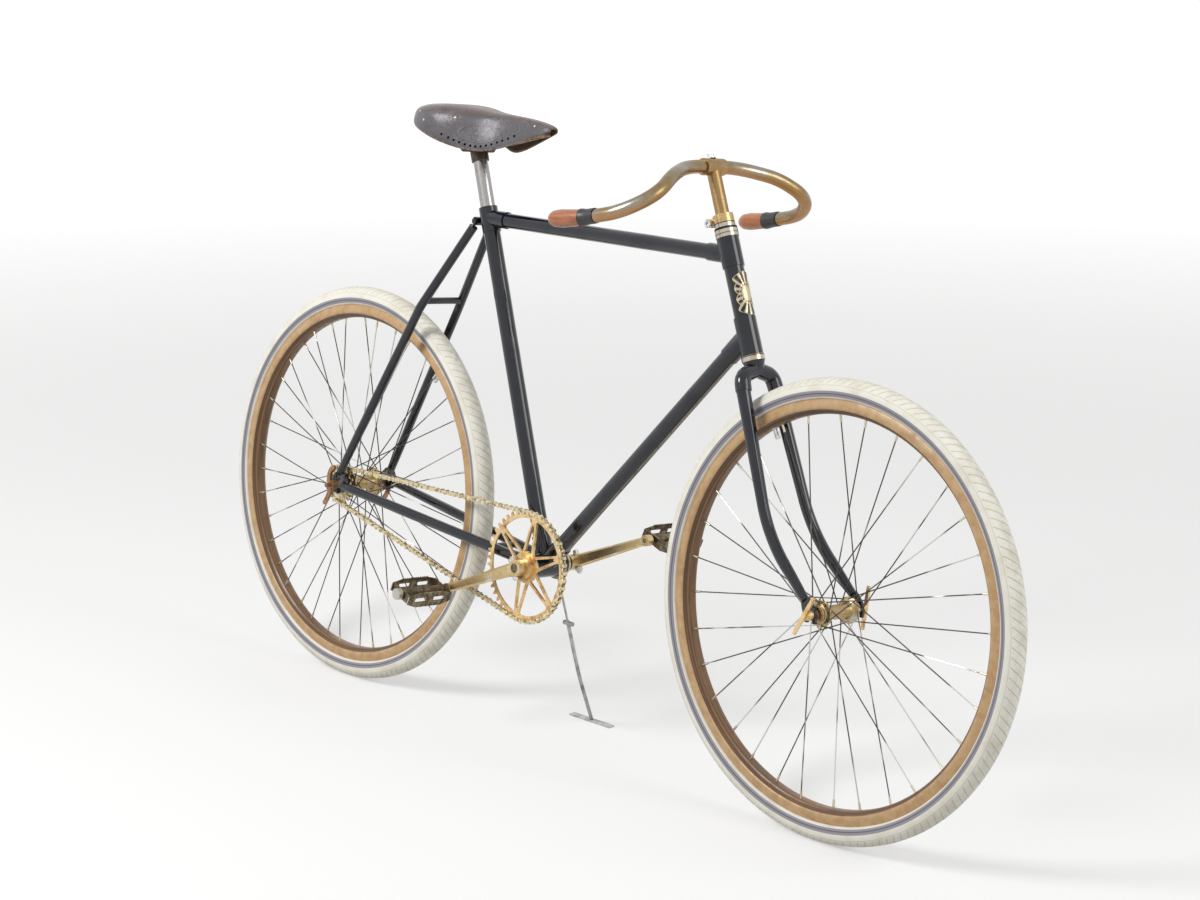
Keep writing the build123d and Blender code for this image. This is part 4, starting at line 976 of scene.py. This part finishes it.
hole_shade = Finish("hole_shade", Specular_IOR_Level=0.0, Roughness=0.9)
hole_shade.colour((0.006, 0.005, 0.005), (hole_shade.noise(0.001), (0.02, 0.015, 0.012)))
perforations = [
    (241, 1008), (254, 1003.5), (264, 1000), (274, 997), (284, 994.5), (293.5, 993), (302.5, 992.5),
    (312, 993.5), (321.5, 996), (331.5, 999), (342, 1003), (352, 1007), (363, 1011.5), (375, 1016.5)]
punches = []
for side in (-1, 1):
    for x, z in perforations:
        place, normal = on_flap(x, z, side)
        punches.append(round_bar(place + normal * 0.006, place, [(0, 0.0022), (0.0093, 0.0022)], 14))
punch_piece = placed("punch", plain_mesh("punch", *gathered(punches)))
punch_piece.data.materials.append(hole_shade.material)
cutter = saddle.modifiers.new("holes", "BOOLEAN")
cutter.operation = "DIFFERENCE"
cutter.solver = "EXACT"
cutter.material_mode = "TRANSFER"
cutter.object = punch_piece
make_plain(saddle)
bpy.data.objects.remove(punch_piece)
settle(saddle, "frame", ["saddle"], place=Matrix(), crease=42)

# Small domed rivets of brass, whose shanks go through the leather. Three on each side hold it to the
# plate at the back, and one on each side to the piece inside the nose.
riveting = Growth("domed_rivets", {
    "Geometry": "Geometry", "Radius": "Float", "Height": "Float", "Metal": "Material"})
asked = riveting.given
dome = riveting.add("GeometryNodeMeshUVSphere", {"Segments": 20, "Rings": 12, "Radius": 1.0})
dome = riveting.add("GeometryNodeTransform", {
    0: dome, "Scale": riveting.point(asked["Radius"], asked["Radius"], asked["Height"])})
outward_way = riveting.add("GeometryNodeInputNamedAttribute", {"Name": "outward"}, data_type="FLOAT_VECTOR")
stand_out = riveting.add("FunctionNodeAlignRotationToVector", {"Vector": outward_way}, axis="Z")
riveting.end(coated(riveting, scattered(riveting, asked, dome, Rotation=stand_out), "Metal"))
rivet_brass = mottled("rivet_brass", 0.003, (0.52, 0.44, 0.3), (0.25, 0.19, 0.13), 0.28, 0.002,
                      more=0.25, Metallic=1.0)
seats = [on_flap(x, z, side) for side in (-1, 1)
         for x, z in ((182, 1043), (198, 1029), (258, 1038), (413, 1036.5))]
seat_mesh = plain_mesh("rivet_seats", [place for place, _ in seats])
outward_layer = seat_mesh.attributes.new("outward", "FLOAT_VECTOR", "POINT")
for value, (_, normal) in zip(outward_layer.data, seats):
    value.vector = normal
saddle_rivets = grown(riveting, "saddle_rivets", {
    "Radius": 0.0026, "Height": 0.001, "Metal": rivet_brass.material}, seat_mesh)
settle(saddle_rivets, "frame", place=Matrix())


# Plain pale floor, under a background that shows white. To the camera and in reflections the floor
# glows, more with distance, so that it shows nearly white and still keeps the shadow.
def seen_straight(nodes):
    """1 for what the camera, a reflection or a clear body shows, 0 for light that falls on a surface."""
    path = nodes.add("ShaderNodeLightPath")
    seen = path["Is Camera Ray"] + path["Is Glossy Ray"] + path["Is Transmission Ray"]
    return seen.math("MINIMUM", 1.0)


studio_white = Finish("studio_white", Base_Color=(0.55, 0.55, 0.545), Roughness=0.9, Specular_IOR_Level=0.1,
                      Emission_Strength=1.0)
near_glow, far_glow = (0.42, 0.42, 0.42), (0.8, 0.8, 0.8)
glow = studio_white.blend(studio_white.away(Vector((0, 0, 0))).ramp(1.5, 9.0), near_glow, far_glow)
studio_white.set(Emission_Color=studio_white.blend(seen_straight(studio_white), (0, 0, 0), glow))
floor_reach = 60.0
floor_corners = [(x * floor_reach, y * floor_reach, 0) for x, y in ((-1, -1), (1, -1), (1, 1), (-1, 1))]
floor = placed("ground", plain_mesh("ground", floor_corners, [(0, 1, 2, 3)]))
floor.data.materials.append(studio_white.material)

room_light = 0.46
world = bpy.data.worlds.new("studio")
bpy.context.scene.world = world
world.use_nodes = True
air = Nodes(world.node_tree)
background = world.node_tree.nodes["Background"]
background.inputs["Color"].default_value = (1, 1, 1, 1)
air.give(background.inputs["Strength"], seen_straight(air) * (1 - room_light) + room_light)


def pointed(name, data, place, way):
    """A light or camera that looks along a direction."""
    holder = placed(name, data)
    holder.location = place
    holder.rotation_euler = Vector(way).to_track_quat("-Z", "Y").to_euler()
    return holder


lamp_target = Vector((0, 0, 0.5))
for name, place, size, power in (("key", (-1.2, -3.2, 3.2), 1.6, 115), ("fill", (3.6, 0.8, 2.4), 2.2, 48)):
    lamp = bpy.data.lights.new(name, "AREA")
    lamp.shape = "DISK"
    lamp.size = size
    lamp.energy = power
    pointed(name, lamp, place, lamp_target - Vector(place))

# The camera stands where the photograph was taken: ahead and to the right, at head height. Its frame
# is the photograph's, and its place and lens were fitted to the two wheels.
camera_place = (3.16983, -2.99827, 1.50567)
camera_way = (-0.7068, 0.6712, -0.2234)
camera = bpy.data.cameras.new("camera")
camera.sensor_width = 36.0
camera.lens = 80.37
camera.clip_end = 60
bpy.context.scene.camera = pointed("camera", camera, camera_place, camera_way)
bpy.context.scene.view_settings.view_transform = "Standard"

bpy.context.view_layer.update()
